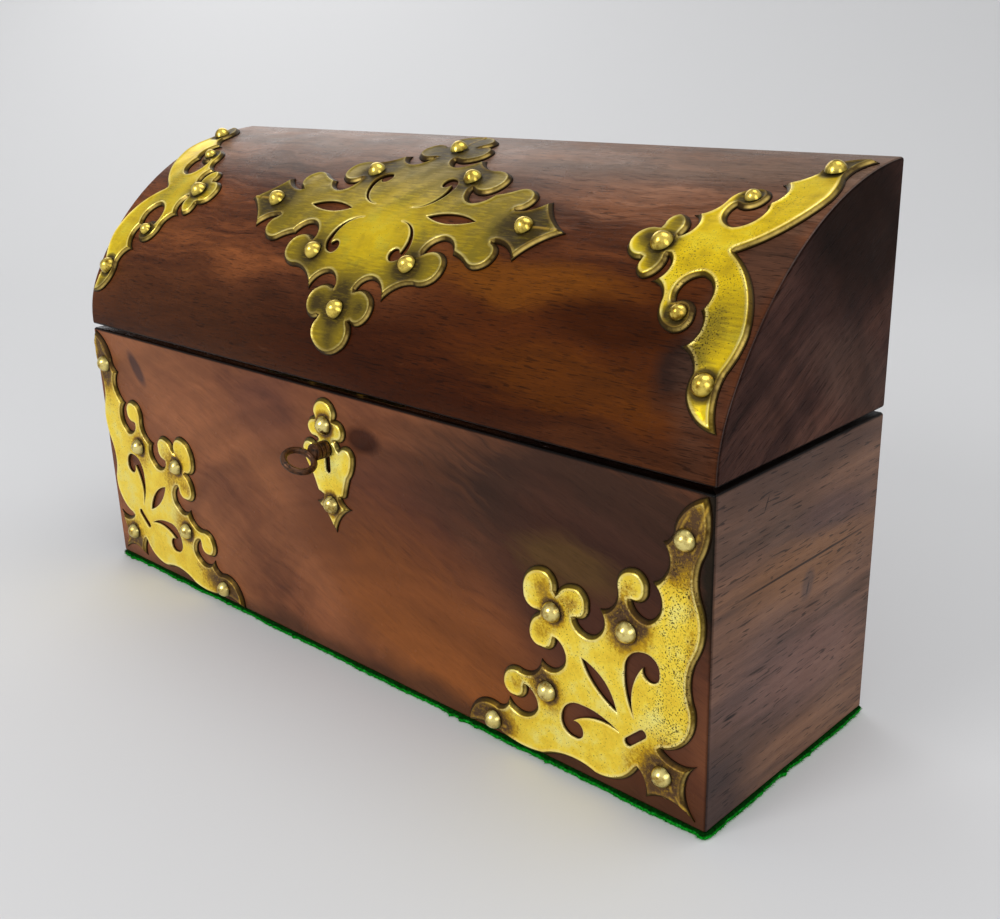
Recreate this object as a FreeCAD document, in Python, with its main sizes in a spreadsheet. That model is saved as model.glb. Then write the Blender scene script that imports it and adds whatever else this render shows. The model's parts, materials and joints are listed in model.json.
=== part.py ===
import FreeCAD, Part
import math
import os
import re

import Sketcher
from FreeCAD import Placement, Rotation, Vector

# Domed walnut letter box with pierced brass mounts. Millimetres, +Z up, +X along the length,
# the front at -Y. The origin is the middle of the baize on which the box stands.

SIZES = [
    ("box_length", 240, "outside length, end to end"),
    ("box_depth", 70, "outside depth, front to back"),
    ("box_height", 139, "outside height at the back of the dome"),
    ("base_top", 80.5, "top edge of the base above the table"),
    ("split_gap", 1.2, "slit between base and lid"),
    ("wall", 7.5, "thickness of every outside board"),
    ("felt", 1.6, "baize under the box"),
    ("felt_proud", 0.4, "how far the baize stands past the wood"),
    ("floor_board", 5, "thickness of the bottom board"),
    ("lid_straight", 1.2, "upright stretch at the lid's front edge"),
    ("shoulder_radius", 30, "radius of the dome's tight front bend"),
    ("shoulder_turn", 28, "degrees turned by the front bend"),
    ("mount_thick", 1.2, "thickness of the brass mounts"),
    ("stud_radius", 2.65, "radius of a stud's head"),
    ("stud_rim", 0.3, "upright rim of a stud's head"),
    ("stud_rise", 2.3, "height of a stud's head"),
    ("pin_radius", 0.7, "radius of a stud's pin"),
    ("pin_length", 5, "length of a stud's pin below the head"),
    ("short_pin", 2.6, "length of the pins in front of the lock"),
    ("screw_head", 1.7, "radius of a screw's head"),
    ("screw_radius", 0.8, "radius of a screw's shank"),
    ("screw_sink", 0.9, "depth of a screw's countersink"),
    ("screw_length", 6, "length of a screw"),
    ("slot_wide", 0.36, "width of a screw's driver slot"),
    ("slot_deep", 0.4, "depth of a screw's driver slot"),
    ("fit", 0.05, "clearance round a pin or a screw"),
    ("lock_x", -1, "place of the lock and the key along the box"),
    ("key_height", 64.6, "height of the key above the table"),
    ("keyhole_radius", 2.2, "round part of the keyhole"),
    ("keyhole_slot", 2.1, "width of the keyhole's slot"),
    ("keyhole_drop", 7, "depth of the keyhole's slot below the key's middle"),
    ("case_half", 23, "half the length of the lock case"),
    ("case_low", 57.5, "underside of the lock case"),
    ("case_wall", 0.8, "thickness of the lock case"),
    ("case_front", 1.7, "wood left in front of the lock case"),
    ("plate_half", 28, "half the length of the lock's back and top plates"),
    ("plate_thick", 1.2, "thickness of the lock's plates"),
    ("plate_low", 55.5, "lower edge of the lock's back plate"),
    ("bolt_front", 3.4, "front of the bolt behind the box's front face"),
    ("bolt_thick", 1.8, "thickness of the bolt and of the hooks"),
    ("throw", 6, "travel of the bolt"),
    ("drill_pin", 0.8, "radius of the pin that fits the key's bore"),
    ("key_rest", 60, "degrees between the resting bit and upright"),
    ("shank_radius", 1.8, "radius of the key's shank"),
    ("bit_reach", 5.6, "reach of the key's bit from its axis"),
    ("bit_thick", 1.4, "thickness of the key's bit"),
    ("bow_radius", 4.05, "middle radius of the key's ring"),
    ("bow_wire", 0.9, "radius of the ring's wire"),
    ("bow_out", 10.2, "middle of the ring in front of the box"),
    ("bow_drop", 1, "how far the ring hangs below the key's axis"),
    ("hinge_x", 70, "middle of a hinge from the middle of the box"),
    ("hinge_half", 12.5, "half the length of a hinge"),
    ("hinge_in", 0.8, "hinge pin's axis inside the back face"),
    ("knuckle", 1.8, "radius of a hinge knuckle"),
    ("leaf_thick", 1, "thickness of a hinge leaf"),
    ("hinge_pin", 0.7, "radius of a hinge pin"),
    ("bevel", 0.45, "width of the bevel that stops the lid"),
    ("bevel_turn", 50, "degrees of that bevel below level"),
    ("divider", 3, "thickness of the letter rack's boards"),
    ("groove", 1.5, "depth of the grooves in the rack's cheeks"),
    ("rack_top", 78, "top edge of the rack's cheeks"),
]
NAMES = {alias for alias, size, note in SIZES}

doc = FreeCAD.newDocument("domed_letter_box")
sheet = doc.addObject("Spreadsheet::Sheet", "Sizes")
for row, (alias, size, note) in enumerate(SIZES, start=1):
    sheet.set(f"A{row}", alias)
    sheet.set(f"B{row}", str(size))
    sheet.set(f"C{row}", note)
    sheet.setAlias(f"B{row}", alias)
doc.recompute()

nodes = []


def bound(formula):
    """The formula with every sheet name written as a reference to the sheet."""
    def reference(word):
        return f"Sizes.{word.group()}" if word.group() in NAMES else word.group()

    return re.sub(r"[a-z_]+", reference, str(formula))


def size_of(formula):
    """What the formula comes to now."""
    return float(sheet.evalExpression(bound(formula)))


def keep(node):
    """Marks an object as one of the finished pieces."""
    nodes.append(node)
    return node


# Solids bound to the sheet

def block(label, x_span, y_span, z_span):
    box = doc.addObject("Part::Box", label)
    for side, measure, (low, high) in zip("xyz", ("Length", "Width", "Height"), (x_span, y_span, z_span)):
        box.setExpression(measure, bound(f"({high}) - ({low})"))
        box.setExpression(f"Placement.Base.{side}", bound(low))
    return box


TURNS = {"x": Rotation(Vector(0, 1, 0), 90), "y": Rotation(Vector(1, 0, 0), -90), "z": Rotation()}


def grown(span, spare):
    """A span of two formulas made longer at both ends."""
    return (f"{span[0]} - {spare}", f"{span[1]} + {spare}")


def rod(label, radius, axis, centre, span):
    """A round bar along one axis; centre holds the other two coordinates."""
    bar = doc.addObject("Part::Cylinder", label)
    bar.Placement = Placement(Vector(), TURNS[axis])
    place = dict(zip([side for side in "xyz" if side != axis], centre))
    place[axis] = span[0]
    for side, formula in place.items():
        bar.setExpression(f"Placement.Base.{side}", bound(formula))
    bar.setExpression("Radius", bound(radius))
    bar.setExpression("Height", bound(f"({span[1]}) - ({span[0]})"))
    return bar


def fused(label, *pieces):
    union = doc.addObject("Part::MultiFuse", label)
    union.Shapes = list(pieces)
    return union


def without(label, solid, *tools):
    cut = doc.addObject("Part::Cut", label)
    cut.Base = solid
    cut.Tool = tools[0] if len(tools) == 1 else fused(f"{label}_tools", *tools)
    return cut


PLANES = {"plan": "XY_Plane", "front": "XZ_Plane", "section": "YZ_Plane"}


def drawing(body, label, plane, offset):
    """An empty sketch on one of the body's own origin planes, moved along its normal."""
    sketch = body.newObject("Sketcher::SketchObject", label)
    origin = next(feature for feature in body.Origin.OriginFeatures if feature.Role == PLANES[plane])
    sketch.AttachmentSupport = [(origin, "")]
    sketch.MapMode = "FlatFace"
    sketch.setExpression("AttachmentOffset.Base.z", bound(offset))
    return sketch


def polygon(sketch, corners):
    """Straight lines round the corners, each corner held by two bound distances."""
    points = [Vector(size_of(across), size_of(up), 0) for across, up in corners]
    count = len(points)
    for index in range(count):
        sketch.addGeometry(Part.LineSegment(points[index], points[(index + 1) % count]), False)
    for index, (across, up) in enumerate(corners):
        sketch.addConstraint(Sketcher.Constraint("Coincident", index, 2, (index + 1) % count, 1))
        place = points[index]
        for kind, formula, value in (("DistanceX", across, place.x), ("DistanceY", up, place.y)):
            number = sketch.addConstraint(Sketcher.Constraint(kind, -1, 1, index, 1, value))
            sketch.setExpression(f"Constraints[{number}]", bound(formula))


def pad(body, sketch, length, label):
    solid = body.newObject("PartDesign::Pad", label)
    solid.Profile = sketch
    solid.setExpression("Length", bound(length))
    return solid


def prism(label, plane, offset, length, corners):
    """A straight-sided board drawn as a polygon and padded."""
    body = doc.addObject("PartDesign::Body", label)
    sketch = drawing(body, f"{label}_outline", plane, offset)
    polygon(sketch, corners)
    pad(body, sketch, length, f"{label}_pad")
    return body


# Outlines made of arcs. A run is a start point, then for each arc the point that it passes through
# and its end, or for a straight line its end alone.

def is_arc(step):
    return isinstance(step[0], tuple)


def end_of(step):
    return step[1] if is_arc(step) else step


def moved(run, place):
    """The run with every point passed through a function."""
    steps = [(place(step[0]), place(step[1])) if is_arc(step) else place(step) for step in run[1:]]
    return [place(run[0])] + steps


def backwards(run):
    """The same line, drawn from its other end."""
    starts = [run[0]] + [end_of(step) for step in run[1:-1]]
    steps = [(step[0], start) if is_arc(step) else start for start, step in zip(starts, run[1:])]
    return [end_of(run[-1])] + steps[::-1]


def joined(*runs):
    """Runs that each start where the one before ends, as one run."""
    whole = list(runs[0])
    for run in runs[1:]:
        whole += run[1:]
    return whole


def draw(sketch, runs):
    """Adds closed runs to a sketch."""
    for run in runs:
        start = Vector(*run[0])
        for step in run[1:]:
            end = Vector(*end_of(step))
            curve = Part.Arc(start, Vector(*step[0]), end) if is_arc(step) else Part.LineSegment(start, end)
            sketch.addGeometry(curve, False)
            start = end


def cut_sheet(label, plane, offset, length, runs):
    """A flat piece cut to runs of arcs and padded."""
    body = doc.addObject("PartDesign::Body", label)
    sketch = drawing(body, f"{label}_outline", plane, offset)
    draw(sketch, runs)
    pad(body, sketch, length, f"{label}_pad")
    return body


# Mirrors used by the ornament

def across(point):
    """The same point on the other half of the box."""
    return (-point[0], point[1])


def over_diagonal(point):
    """From the upright leg of a corner mount to its level leg."""
    return (120.4 - point[1], 119.2 - point[0])


DOME_MIDDLE = 50


def over_dome(point):
    """From the lower half of a dome mount to its upper half."""
    return (point[0], 2 * DOME_MIDDLE - point[1])


# Right corner mount of the base: (x, height). Leaf and scroll of the upright leg, down to the trefoil.

CORNER_LEAF = [
    (118.2, 79.8), ((113.7, 77.2), (110.4, 71.8)), ((109.7, 69.2), (107.6, 67.5)),
    ((109.3, 63.9), (108.4, 60.6)), ((107.2, 58.9), (105.2, 57.6)),
]
CORNER_SCROLL = [
    (105.2, 57.6), ((107.5, 53.0), (104.3, 48.4)), ((101.8, 49.0), (99.9, 51.6)),
    ((103.3, 52.5), (104.3, 55.2)), ((103.2, 58.4), (99.8, 59.3)), ((96.7, 57.5), (95.7, 54.0)),
    ((95.0, 49.3), (91.0, 46.8)), ((92.2, 44.0), (90.9, 41.0)), ((87.8, 39.5), (84.2, 42.2)),
    ((87.0, 43.2), (88.0, 46.2)), ((86.7, 49.7), (83.3, 50.5)), ((80.4, 49.3), (78.4, 46.4)),
    ((78.3, 50.2), (74.6, 52.3)),
]
CORNER_LEVEL_SCROLL = backwards(moved(CORNER_SCROLL, over_diagonal))
CORNER_PETAL = [CORNER_SCROLL[-1][1], ((69.7, 50.0), CORNER_LEVEL_SCROLL[0])]
CORNER_FOOT = [
    end_of(CORNER_LEVEL_SCROLL[-1]), ((61.7, 11.6), (59.3, 10.6)), ((53.9, 10.4), (50.2, 7.3)),
    ((49.0, 4.8), (48.8, 1.9)), ((54.4, 3.4), (60.0, 2.9)), ((67.3, 1.8), (74.5, 2.6)),
    ((83.2, 5.1), (90.2, 4.1)), ((97.2, 5.6), (102.2, 10.8)),
]
CORNER_TAIL = [
    (102.2, 10.8), ((103.9, 8.0), (104.2, 4.2)), ((110.6, 6.2), (117.4, 3.6)),
    ((114.6, 10.6), (117.5, 17.6)), ((112.6, 16.4), (108.3, 18.2)),
]
CORNER_EDGE = [
    (108.3, 18.2), ((115.5, 23.2), (116.8, 31.2)), ((115.6, 37.6), (117.3, 43.8)),
    ((118.8, 50.2), (117.6, 56.5)), ((116.7, 62.0), (118.0, 66.8)), ((119.4, 74.0), (118.2, 79.8)),
]
CORNER = joined(CORNER_LEAF, CORNER_SCROLL, CORNER_PETAL, CORNER_LEVEL_SCROLL, CORNER_FOOT,
                CORNER_TAIL, CORNER_EDGE)
CORNER_HOOK = [
    (101.0, 23.5), ((98.8, 29.0), (98.3, 34.5)), ((99.8, 38.7), (103.6, 40.5)),
    ((106.9, 39.3), (107.8, 36.6)), ((105.4, 33.8), (103.3, 36.7)), ((100.7, 31.2), (101.0, 23.5)),
]
CORNER_LENS = [(86.0, 33.2), ((92.7, 29.6), (96.4, 23.0)), ((90.2, 26.9), (86.0, 33.2))]
CORNER_STUDS = [(113.6, 69.6), (99.0, 44.1), (77.6, 42.0), (75.8, 20.8), (57.9, 6.1), (109.0, 12.0)]
SLOT_MIDDLE, SLOT_REACH, SLOT_RADIUS, SLOT_TURN = (101.5, 18.5), 2.6, 1.1, 42

# Centre mount of the lid: (x, distance up the dome). Lower right quarter, from its side tip.

CENTRE_QUARTER = [
    (60.5, 50.0), ((54.4, 45.8), (50.0, 40.2)), ((46.4, 43.5), (41.7, 44.6)),
    ((44.8, 41.2), (43.3, 37.6)),
    ((40.2, 36.3), (36.5, 37.4)), ((33.8, 38.8), (31.0, 39.6)), ((29.1, 42.3), (26.0, 43.4)),
    ((22.9, 42.0), (21.6, 38.6)), ((25.2, 40.1), (28.6, 39.2)), ((31.0, 35.6), (29.6, 31.4)),
    ((27.0, 29.9), (23.5, 29.7)), ((18.3, 28.2), (14.4, 24.2)), ((12.3, 27.9), (8.6, 29.4)),
    ((5.6, 28.2), (4.2, 25.8)), ((7.4, 26.5), (10.4, 25.4)), ((12.9, 21.6), (10.6, 17.1)),
    ((8.2, 16.5), (5.9, 17.5)), ((7.7, 13.6), (5.6, 9.9)),
]
CENTRE_MIRRORED = backwards(moved(CENTRE_QUARTER, across))
CENTRE_TOE = [end_of(CENTRE_QUARTER[-1]), ((0, 7.8), CENTRE_MIRRORED[0])]
CENTRE_LOWER = joined(CENTRE_QUARTER, CENTRE_TOE, CENTRE_MIRRORED)
CENTRE = joined(CENTRE_LOWER, backwards(moved(CENTRE_LOWER, over_dome)))
CENTRE_HOOK = [
    (7.3, 47.5), ((13.4, 45.0), (15.8, 40.0)), ((14.6, 36.2), (12.0, 35.1)),
    ((10.0, 37.2), (12.0, 39.0)),
    ((12.9, 38.7), (13.6, 37.8)), ((13.5, 43.0), (7.3, 47.5)),
]
CENTRE_LENS = [(14.6, 50.0), ((23.3, 51.8), (32.0, 50.0)), ((23.3, 48.2), (14.6, 50.0))]
CENTRE_STUDS = [(48.0, 50), (-48.0, 50), (18.6, 34.8), (-18.6, 34.8), (18.6, 65.2), (-18.6, 65.2),
                (0, 20), (0, 80)]

# Right side mount of the lid: (x, distance up the dome). Lower half, from the notch at the box's end.

SIDE_HALF = [
    (106.2, 50.0), ((114.2, 42.2), (118.6, 31.0)), ((118.3, 26.6), (117.0, 22.4)),
    ((116.8, 16.2), (118.6, 10.4)), ((113.2, 11.9), (109.8, 15.8)), ((109.1, 18.6), (109.4, 21.4)),
    ((107.6, 24.6), (104.4, 26.3)),
    ((107.3, 30.6), (105.6, 34.9)), ((105.9, 40.1), (102.3, 42.9)), ((98.8, 40.6), (98.8, 36.2)),
    ((102.6, 36.6), (104.7, 33.6)), ((103.9, 30.2), (100.6, 29.1)), ((96.8, 31.2), (95.2, 35.6)),
    ((93.6, 38.8), (90.3, 40.1)), ((93.0, 43.6), (91.2, 47.0)), ((90.6, 42.2), (88.0, 40.4)),
    ((85.6, 41.6), (85.0, 45.2)),
]
SIDE_UPPER = backwards(moved(SIDE_HALF, over_dome))
SIDE = joined(SIDE_HALF, [SIDE_HALF[-1][1], ((79.1, 50.0), SIDE_UPPER[0])], SIDE_UPPER)
SIDE_STUDS = [(88.0, 50.0), (101.2, 33.4), (101.2, 66.6), (113.1, 19.5), (113.1, 80.5)]

# Key escutcheon: (x from the keyhole, height). Right half, from the top petal down to the tip.

ESCUTCHEON_HALF = [
    (4.5, 75.2), ((4.3, 73.3), (2.3, 72.1)), ((5.6, 72.6), (7.6, 70.4)), ((6.9, 67.8), (3.7, 66.8)),
    ((4.5, 66.0), (4.9, 65.0)), ((8.2, 66.2), (10.7, 63.6)), ((10.0, 60.2), (7.9, 57.0)),
    ((6.9, 54.6), (6.1, 52.4)), ((5.4, 51.4), (3.6, 51.0)), ((5.0, 49.2), (7.3, 48.3)),
    ((2.9, 45.4), (0, 40.4)),
]
ESCUTCHEON_MIRRORED = backwards(moved(ESCUTCHEON_HALF, across))
ESCUTCHEON_CROWN = [end_of(ESCUTCHEON_MIRRORED[-1]), ((0, 78.4), ESCUTCHEON_HALF[0])]
ESCUTCHEON = joined(ESCUTCHEON_HALF, ESCUTCHEON_MIRRORED, ESCUTCHEON_CROWN)
ESCUTCHEON_STUDS = [(0, 71.0), (0, 48.7)]
ESCUTCHEON_TURN = math.radians(2)


def on_escutcheon(point):
    """Turns the escutcheon a little about the keyhole, as it is nailed on."""
    away = (point[0], point[1] - size_of("key_height"))
    turned_x = away[0] * math.cos(ESCUTCHEON_TURN) - away[1] * math.sin(ESCUTCHEON_TURN)
    turned_z = away[0] * math.sin(ESCUTCHEON_TURN) + away[1] * math.cos(ESCUTCHEON_TURN)
    return (size_of("lock_x") + turned_x, size_of("key_height") + turned_z)


def keyhole():
    """Round hole with a round-ended slot below it."""
    middle, height = size_of("lock_x"), size_of("key_height")
    radius, half_slot = size_of("keyhole_radius"), size_of("keyhole_slot / 2")
    low = height - size_of("keyhole_drop")
    meet = height - math.sqrt(radius ** 2 - half_slot ** 2)
    return [
        (middle - half_slot, low + half_slot), ((middle, low), (middle + half_slot, low + half_slot)),
        (middle + half_slot, meet), ((middle, height + radius), (middle - half_slot, meet)),
        (middle - half_slot, low + half_slot),
    ]


def diagonal_slot():
    """Round-ended slot on the diagonal of a corner mount."""
    turn = math.radians(SLOT_TURN)

    def at(along, aside):
        return (SLOT_MIDDLE[0] + along * math.cos(turn) - aside * math.sin(turn),
                SLOT_MIDDLE[1] + along * math.sin(turn) + aside * math.cos(turn))

    tip = SLOT_REACH + SLOT_RADIUS
    return [
        at(-SLOT_REACH, -SLOT_RADIUS), at(SLOT_REACH, -SLOT_RADIUS),
        (at(tip, 0), at(SLOT_REACH, SLOT_RADIUS)), at(-SLOT_REACH, SLOT_RADIUS),
        (at(-tip, 0), at(-SLOT_REACH, -SLOT_RADIUS)),
    ]


# Section of the dome: an upright foot, a tight bend and a wide bend that runs to the back

half_depth = size_of("box_depth / 2")
wall = size_of("wall")
lid_foot = size_of("base_top + split_gap")
straight = size_of("lid_straight")
small = size_of("shoulder_radius")
front_bend = math.radians(size_of("shoulder_turn"))
small_centre = Vector(-half_depth + small, lid_foot + straight)
inward = Vector(math.cos(front_bend), -math.sin(front_bend))
shoulder = small_centre - inward * small
chord = Vector(half_depth, size_of("box_height")) - shoulder
big = chord.dot(chord) / (2 * inward.dot(chord))
big_centre = shoulder + inward * big


def on_circle(centre, radius, angle):
    """Point at an angle turned from the level line that runs to the front."""
    return (centre.x - radius * math.cos(angle), centre.y + radius * math.sin(angle))


def dome_run(inset, back):
    """The dome's section from its foot to the line y = back, moved inwards."""
    tight, wide = small - inset, big - inset
    back_angle = math.acos((big_centre.x - back) / wide)
    half_way = (front_bend + back_angle) / 2
    return [
        (-half_depth + inset, lid_foot), (-half_depth + inset, lid_foot + straight),
        (on_circle(small_centre, tight, front_bend / 2), on_circle(small_centre, tight, front_bend)),
        (on_circle(big_centre, wide, half_way), on_circle(big_centre, wide, back_angle)),
    ]


def dome_point(distance, lift=0):
    """Place (y, z) on the dome at a distance up from its foot, and the angle turned there."""
    if distance <= straight:
        return (-half_depth - lift, lid_foot + distance), 0
    angle = (distance - straight) / small
    if angle <= front_bend:
        return on_circle(small_centre, small + lift, angle), angle
    angle = front_bend + (distance - straight - small * front_bend) / big
    return on_circle(big_centre, big + lift, angle), angle


# Repeated fasteners, drawn with the seat of the head at z = 0

def turned_stud(label, length):
    """Domed stud with a pin below its head."""
    radius, rim, rise = size_of("stud_radius"), size_of("stud_rim"), size_of("stud_rise")
    pin, tip = size_of("pin_radius"), -size_of(length)
    crown = rise - rim
    bulge = (radius ** 2 + crown ** 2) / (2 * crown)
    half_way = radius / 2
    section = [
        (0, tip), (pin, tip), (pin, 0), (radius, 0), (radius, rim),
        ((half_way, rise - bulge + math.sqrt(bulge ** 2 - half_way ** 2)), (0, rise)), (0, tip),
    ]
    body = doc.addObject("PartDesign::Body", label)
    sketch = drawing(body, f"{label}_section", "front", "0")
    draw(sketch, [section])
    turning = body.newObject("PartDesign::Revolution", f"{label}_turning")
    turning.Profile = sketch
    turning.ReferenceAxis = (sketch, ["V_Axis"])
    turning.Angle = 360
    return body


def pin_hole(label, length):
    return rod(label, "pin_radius + fit", "z", ("0", "0"), (f"-({length}) - fit", "stud_rim"))


def countersunk(label, spare):
    """Countersunk screw blank, its head level with z = 0."""
    cone = doc.addObject("Part::Cone", f"{label}_head")
    cone.setExpression("Radius1", bound(f"screw_radius + {spare}"))
    cone.setExpression("Radius2", bound(f"screw_head + {spare}"))
    cone.setExpression("Height", bound("screw_sink"))
    cone.setExpression("Placement.Base.z", bound("-screw_sink"))
    shank = rod(f"{label}_shank", f"screw_radius + {spare}", "z", ("0", "0"),
                (f"-screw_length - {spare}", "-screw_sink"))
    return fused(label, cone, shank)


stud = turned_stud("stud_pattern", "pin_length")
stud_hole = pin_hole("stud_hole_pattern", "pin_length")
short_stud = turned_stud("short_stud_pattern", "short_pin")
short_stud_hole = pin_hole("short_stud_hole_pattern", "short_pin")
driver_slot = block("driver_slot", ("-2 * screw_head", "2 * screw_head"),
                    ("-slot_wide / 2", "slot_wide / 2"), ("-slot_deep", "slot_deep"))
screw = without("screw_pattern", countersunk("screw_blank", "0"), driver_slot)
screw_hole = countersunk("screw_hole_pattern", "fit")
doc.recompute()

TO_FRONT = Rotation(Vector(1, 0, 0), 90)
TO_INSIDE = Rotation(Vector(1, 0, 0), -90)
UPWARDS = Rotation()
DOWNWARDS = Rotation(Vector(1, 0, 0), 180)


def group(label, pattern, places):
    """Separate copies of one small solid as one object."""
    copies = []
    for place in places:
        copy = pattern.Shape.copy()
        copy.Placement = place.multiply(pattern.Shape.Placement)
        copies.append(copy)
    part = doc.addObject("Part::Feature", label)
    part.Shape = Part.makeCompound(copies)
    return part


def screws(label, places):
    """Keeps a group of screws and returns the holes for them."""
    keep(group(label, screw, places))
    return group(f"{label}_holes", screw_hole, places)


# Brass on the front of the base

def front_places(points):
    level = -half_depth - size_of("mount_thick")
    return [Placement(Vector(x, level, z), TO_FRONT) for x, z in points]


def front_mount(name, label, runs, points, pattern, hole, *cutters):
    """A flat mount with its studs; returns the holes for their pins."""
    holes = group(f"{name}_stud_holes", hole, front_places(points))
    sheet = cut_sheet(f"{label}_sheet", "front", "box_depth / 2", "mount_thick", runs)
    keep(without(label, sheet, holes, *cutters))
    keep(group(f"{name}_studs", pattern, front_places(points)))
    return holes


def corner_mount(name, place):
    pierced = [CORNER_HOOK, moved(CORNER_HOOK, over_diagonal), CORNER_LENS, diagonal_slot()]
    runs = [moved(run, place) for run in [CORNER] + pierced]
    points = [place(point) for point in CORNER_STUDS]
    return front_mount(f"base_{name}_mount", f"base_{name}_corner_mount", runs, points, stud, stud_hole)


def as_drawn(point):
    return point


escutcheon_points = [on_escutcheon(point) for point in ESCUTCHEON_STUDS]
escutcheon_keyhole = cut_sheet("escutcheon_keyhole", "front", "box_depth / 2 - mount_thick",
                               "3 * mount_thick", [keyhole()])
base_stud_holes = [
    corner_mount("left", across),
    corner_mount("right", as_drawn),
    front_mount("escutcheon", "escutcheon_plate", [moved(ESCUTCHEON, on_escutcheon)], escutcheon_points,
                short_stud, short_stud_hole, escutcheon_keyhole),
]


# Hinges: the pin's axis is just inside the back face, half way up the slit

pivot = ("box_depth / 2 - hinge_in", "base_top + split_gap / 2")
lid_level = "base_top + split_gap"
leaf_depth = ("box_depth / 2 - wall", pivot[0])
HINGE_SCREW_STEP = 8
HINGE_SCREW_IN = 4.5


def hinge_leaf(name, span, level, knuckles, reliefs, holes):
    """One leaf: a plate with its knuckles, cut clear of the other leaf's knuckles."""
    plate = block(f"{name}_plate", span, leaf_depth, level)
    own = [rod(f"{name}_knuckle_{index}", "knuckle", "x", pivot, knuckle)
           for index, knuckle in enumerate(knuckles)]
    clear = [rod(f"{name}_relief_{index}", "knuckle + 2 * fit", "x", pivot, relief)
             for index, relief in enumerate(reliefs)]
    bore = rod(f"{name}_bore", "hinge_pin + fit", "x", pivot, grown(span, 1))
    return keep(without(f"hinge_{name}", fused(f"{name}_blank", plate, *own), bore, holes, *clear))


def hinge_places(middle, level, turn):
    across = [size_of(middle) + step * HINGE_SCREW_STEP for step in (-1, 0, 1)]
    return [Placement(Vector(x, half_depth - HINGE_SCREW_IN, size_of(level)), turn) for x in across]


def hinge(name, middle):
    """One butt hinge; returns what is cut from the base and from the lid for it."""
    outer = (f"{middle} - hinge_half", f"{middle} + hinge_half")
    joints = (f"{middle} - hinge_half / 3", f"{middle} + hinge_half / 3")
    left, right = (outer[0], f"{joints[0]} - fit"), (f"{joints[1]} + fit", outer[1])
    centre = (f"{joints[0]} + fit", f"{joints[1]} - fit")
    base_holes = group(f"{name}_base_leaf_holes", screw_hole, hinge_places(middle, "base_top", UPWARDS))
    lid_holes = group(f"{name}_lid_leaf_holes", screw_hole, hinge_places(middle, lid_level, DOWNWARDS))
    base_level, lid_top = ("base_top - leaf_thick", "base_top"), f"{lid_level} + leaf_thick"
    hinge_leaf(f"{name}_base_leaf", outer, base_level, [left, right], [grown(joints, "fit")], base_holes)
    ends = [(f"{left[0]} - 1", f"{joints[0]} + fit"), (f"{joints[1]} - fit", f"{right[1]} + 1")]
    hinge_leaf(f"{name}_lid_leaf", outer, (lid_level, lid_top), [centre], ends, lid_holes)
    keep(rod(f"hinge_{name}_pin", "hinge_pin", "x", pivot, outer))

    wide = grown(outer, "fit")
    let_in = ("box_depth / 2 - wall - 1", pivot[0])
    hollow = rod(f"{name}_knuckle_hollow", "knuckle + 3 * fit", "x", pivot, wide)
    base_flat = block(f"{name}_base_leaf_bed", wide, let_in, (base_level[0], "base_top + 1"))
    lid_flat = block(f"{name}_lid_leaf_bed", wide, let_in, (f"{lid_level} - 1", lid_top))
    return [hollow, base_flat, base_holes], [hollow, lid_flat, lid_holes]


hinges = {"left": "-hinge_x", "right": "hinge_x"}
base_hinge_cuts, lid_hinge_cuts = [], []
for name, middle in hinges.items():
    base_cuts, lid_cuts = hinge(name, middle)
    base_hinge_cuts += base_cuts
    lid_hinge_cuts += lid_cuts
for side, level, turn in (("base", "base_top", UPWARDS), ("lid", lid_level, DOWNWARDS)):
    places = [place for middle in hinges.values() for place in hinge_places(middle, level, turn)]
    keep(group(f"{side}_hinge_screws", screw, places))


# Bevels along the back edges of the slit, on which the open lid comes to rest

def back_bevel(label, level, side):
    """Wedge along the whole back edge; side is -1 below the slit and 1 above it."""
    near, far = "box_depth / 2 - bevel", "box_depth / 2 + bevel"
    corners = [(near, level), (far, level), (far, f"{level} + {side} * 2 * bevel * tan(bevel_turn * 1deg)")]
    return prism(label, "section", "-box_length / 2 - 1", "box_length + 2", corners)


base_bevel = back_bevel("base_back_bevel", "base_top", -1)
lid_bevel = back_bevel("lid_back_bevel", lid_level, 1)


# Lock let into the front board. Places along the box are counted from the lock's middle, and
# heights from the key's axis where they belong to the bolt and the hooks.

def beside(distance):
    return f"lock_x + {distance}"


def above(distance):
    return f"key_height + {distance}"


def span_beside(low, high):
    return (beside(low), beside(high))


face = "-box_depth / 2"
inside = "-box_depth / 2 + wall"
plate_face = f"{inside} - plate_thick"
case_face = f"{face} + case_front"
top_plate_low = "base_top - plate_thick"
bolt_faces = (f"{face} + bolt_front", f"{face} + bolt_front + bolt_thick")
case_span = ("lock_x - case_half", "lock_x + case_half")
plate_span = ("lock_x - plate_half", "lock_x + plate_half")

HOOK_STEMS = (-11, 9)
STEM_WIDE = 2.2
TOE_LONG = 2.4
TOE_LOW, TOE_HIGH = 8.5, 10.1
FINGER_LOW, FINGER_HIGH = 10.5, 12.5
FINGER_GAP = 0.3
RISER_WIDE = 2
FINGER_LONG = 4.5
BAR_LOW, BAR_HIGH, BAR_END = 2.4, 7.9, 5
TALON_LEFT, TALON_RIGHT, TALON_HIGH = -5.4, -0.6, 6
RAIL_THICK = 0.9
RAIL_GAP = 0.1
RAILS = ((-20, -6.2), (6.2, 13))
POST_X, POST_Z, POST_RADIUS = -5.3, 11.5, 0.8
SPRING_HALF, SPRING_FOOT, SPRING_TOP, SPRING_THICK, SPRING_IN = 2.9, 8, 10.6, 0.4, 0.2
BACK_SCREWS = [(x, z) for x in (-25.5, 25.5) for z in (60, 70)]
TOP_SCREWS = (-25.5, 25.5)
TOP_SCREW_IN = 3.5
PIN_OUT = 0.2
SLOT_SPARE, SLOT_FACES = 0.5, (2.7, 5.8)
LINK_HALF, LINK_THICK, LINK_SPARE = 19, 1.2, 1.3
LINK_SCREWS = (-16.5, 15)
LINK_SCREW_IN = 4.1


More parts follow.
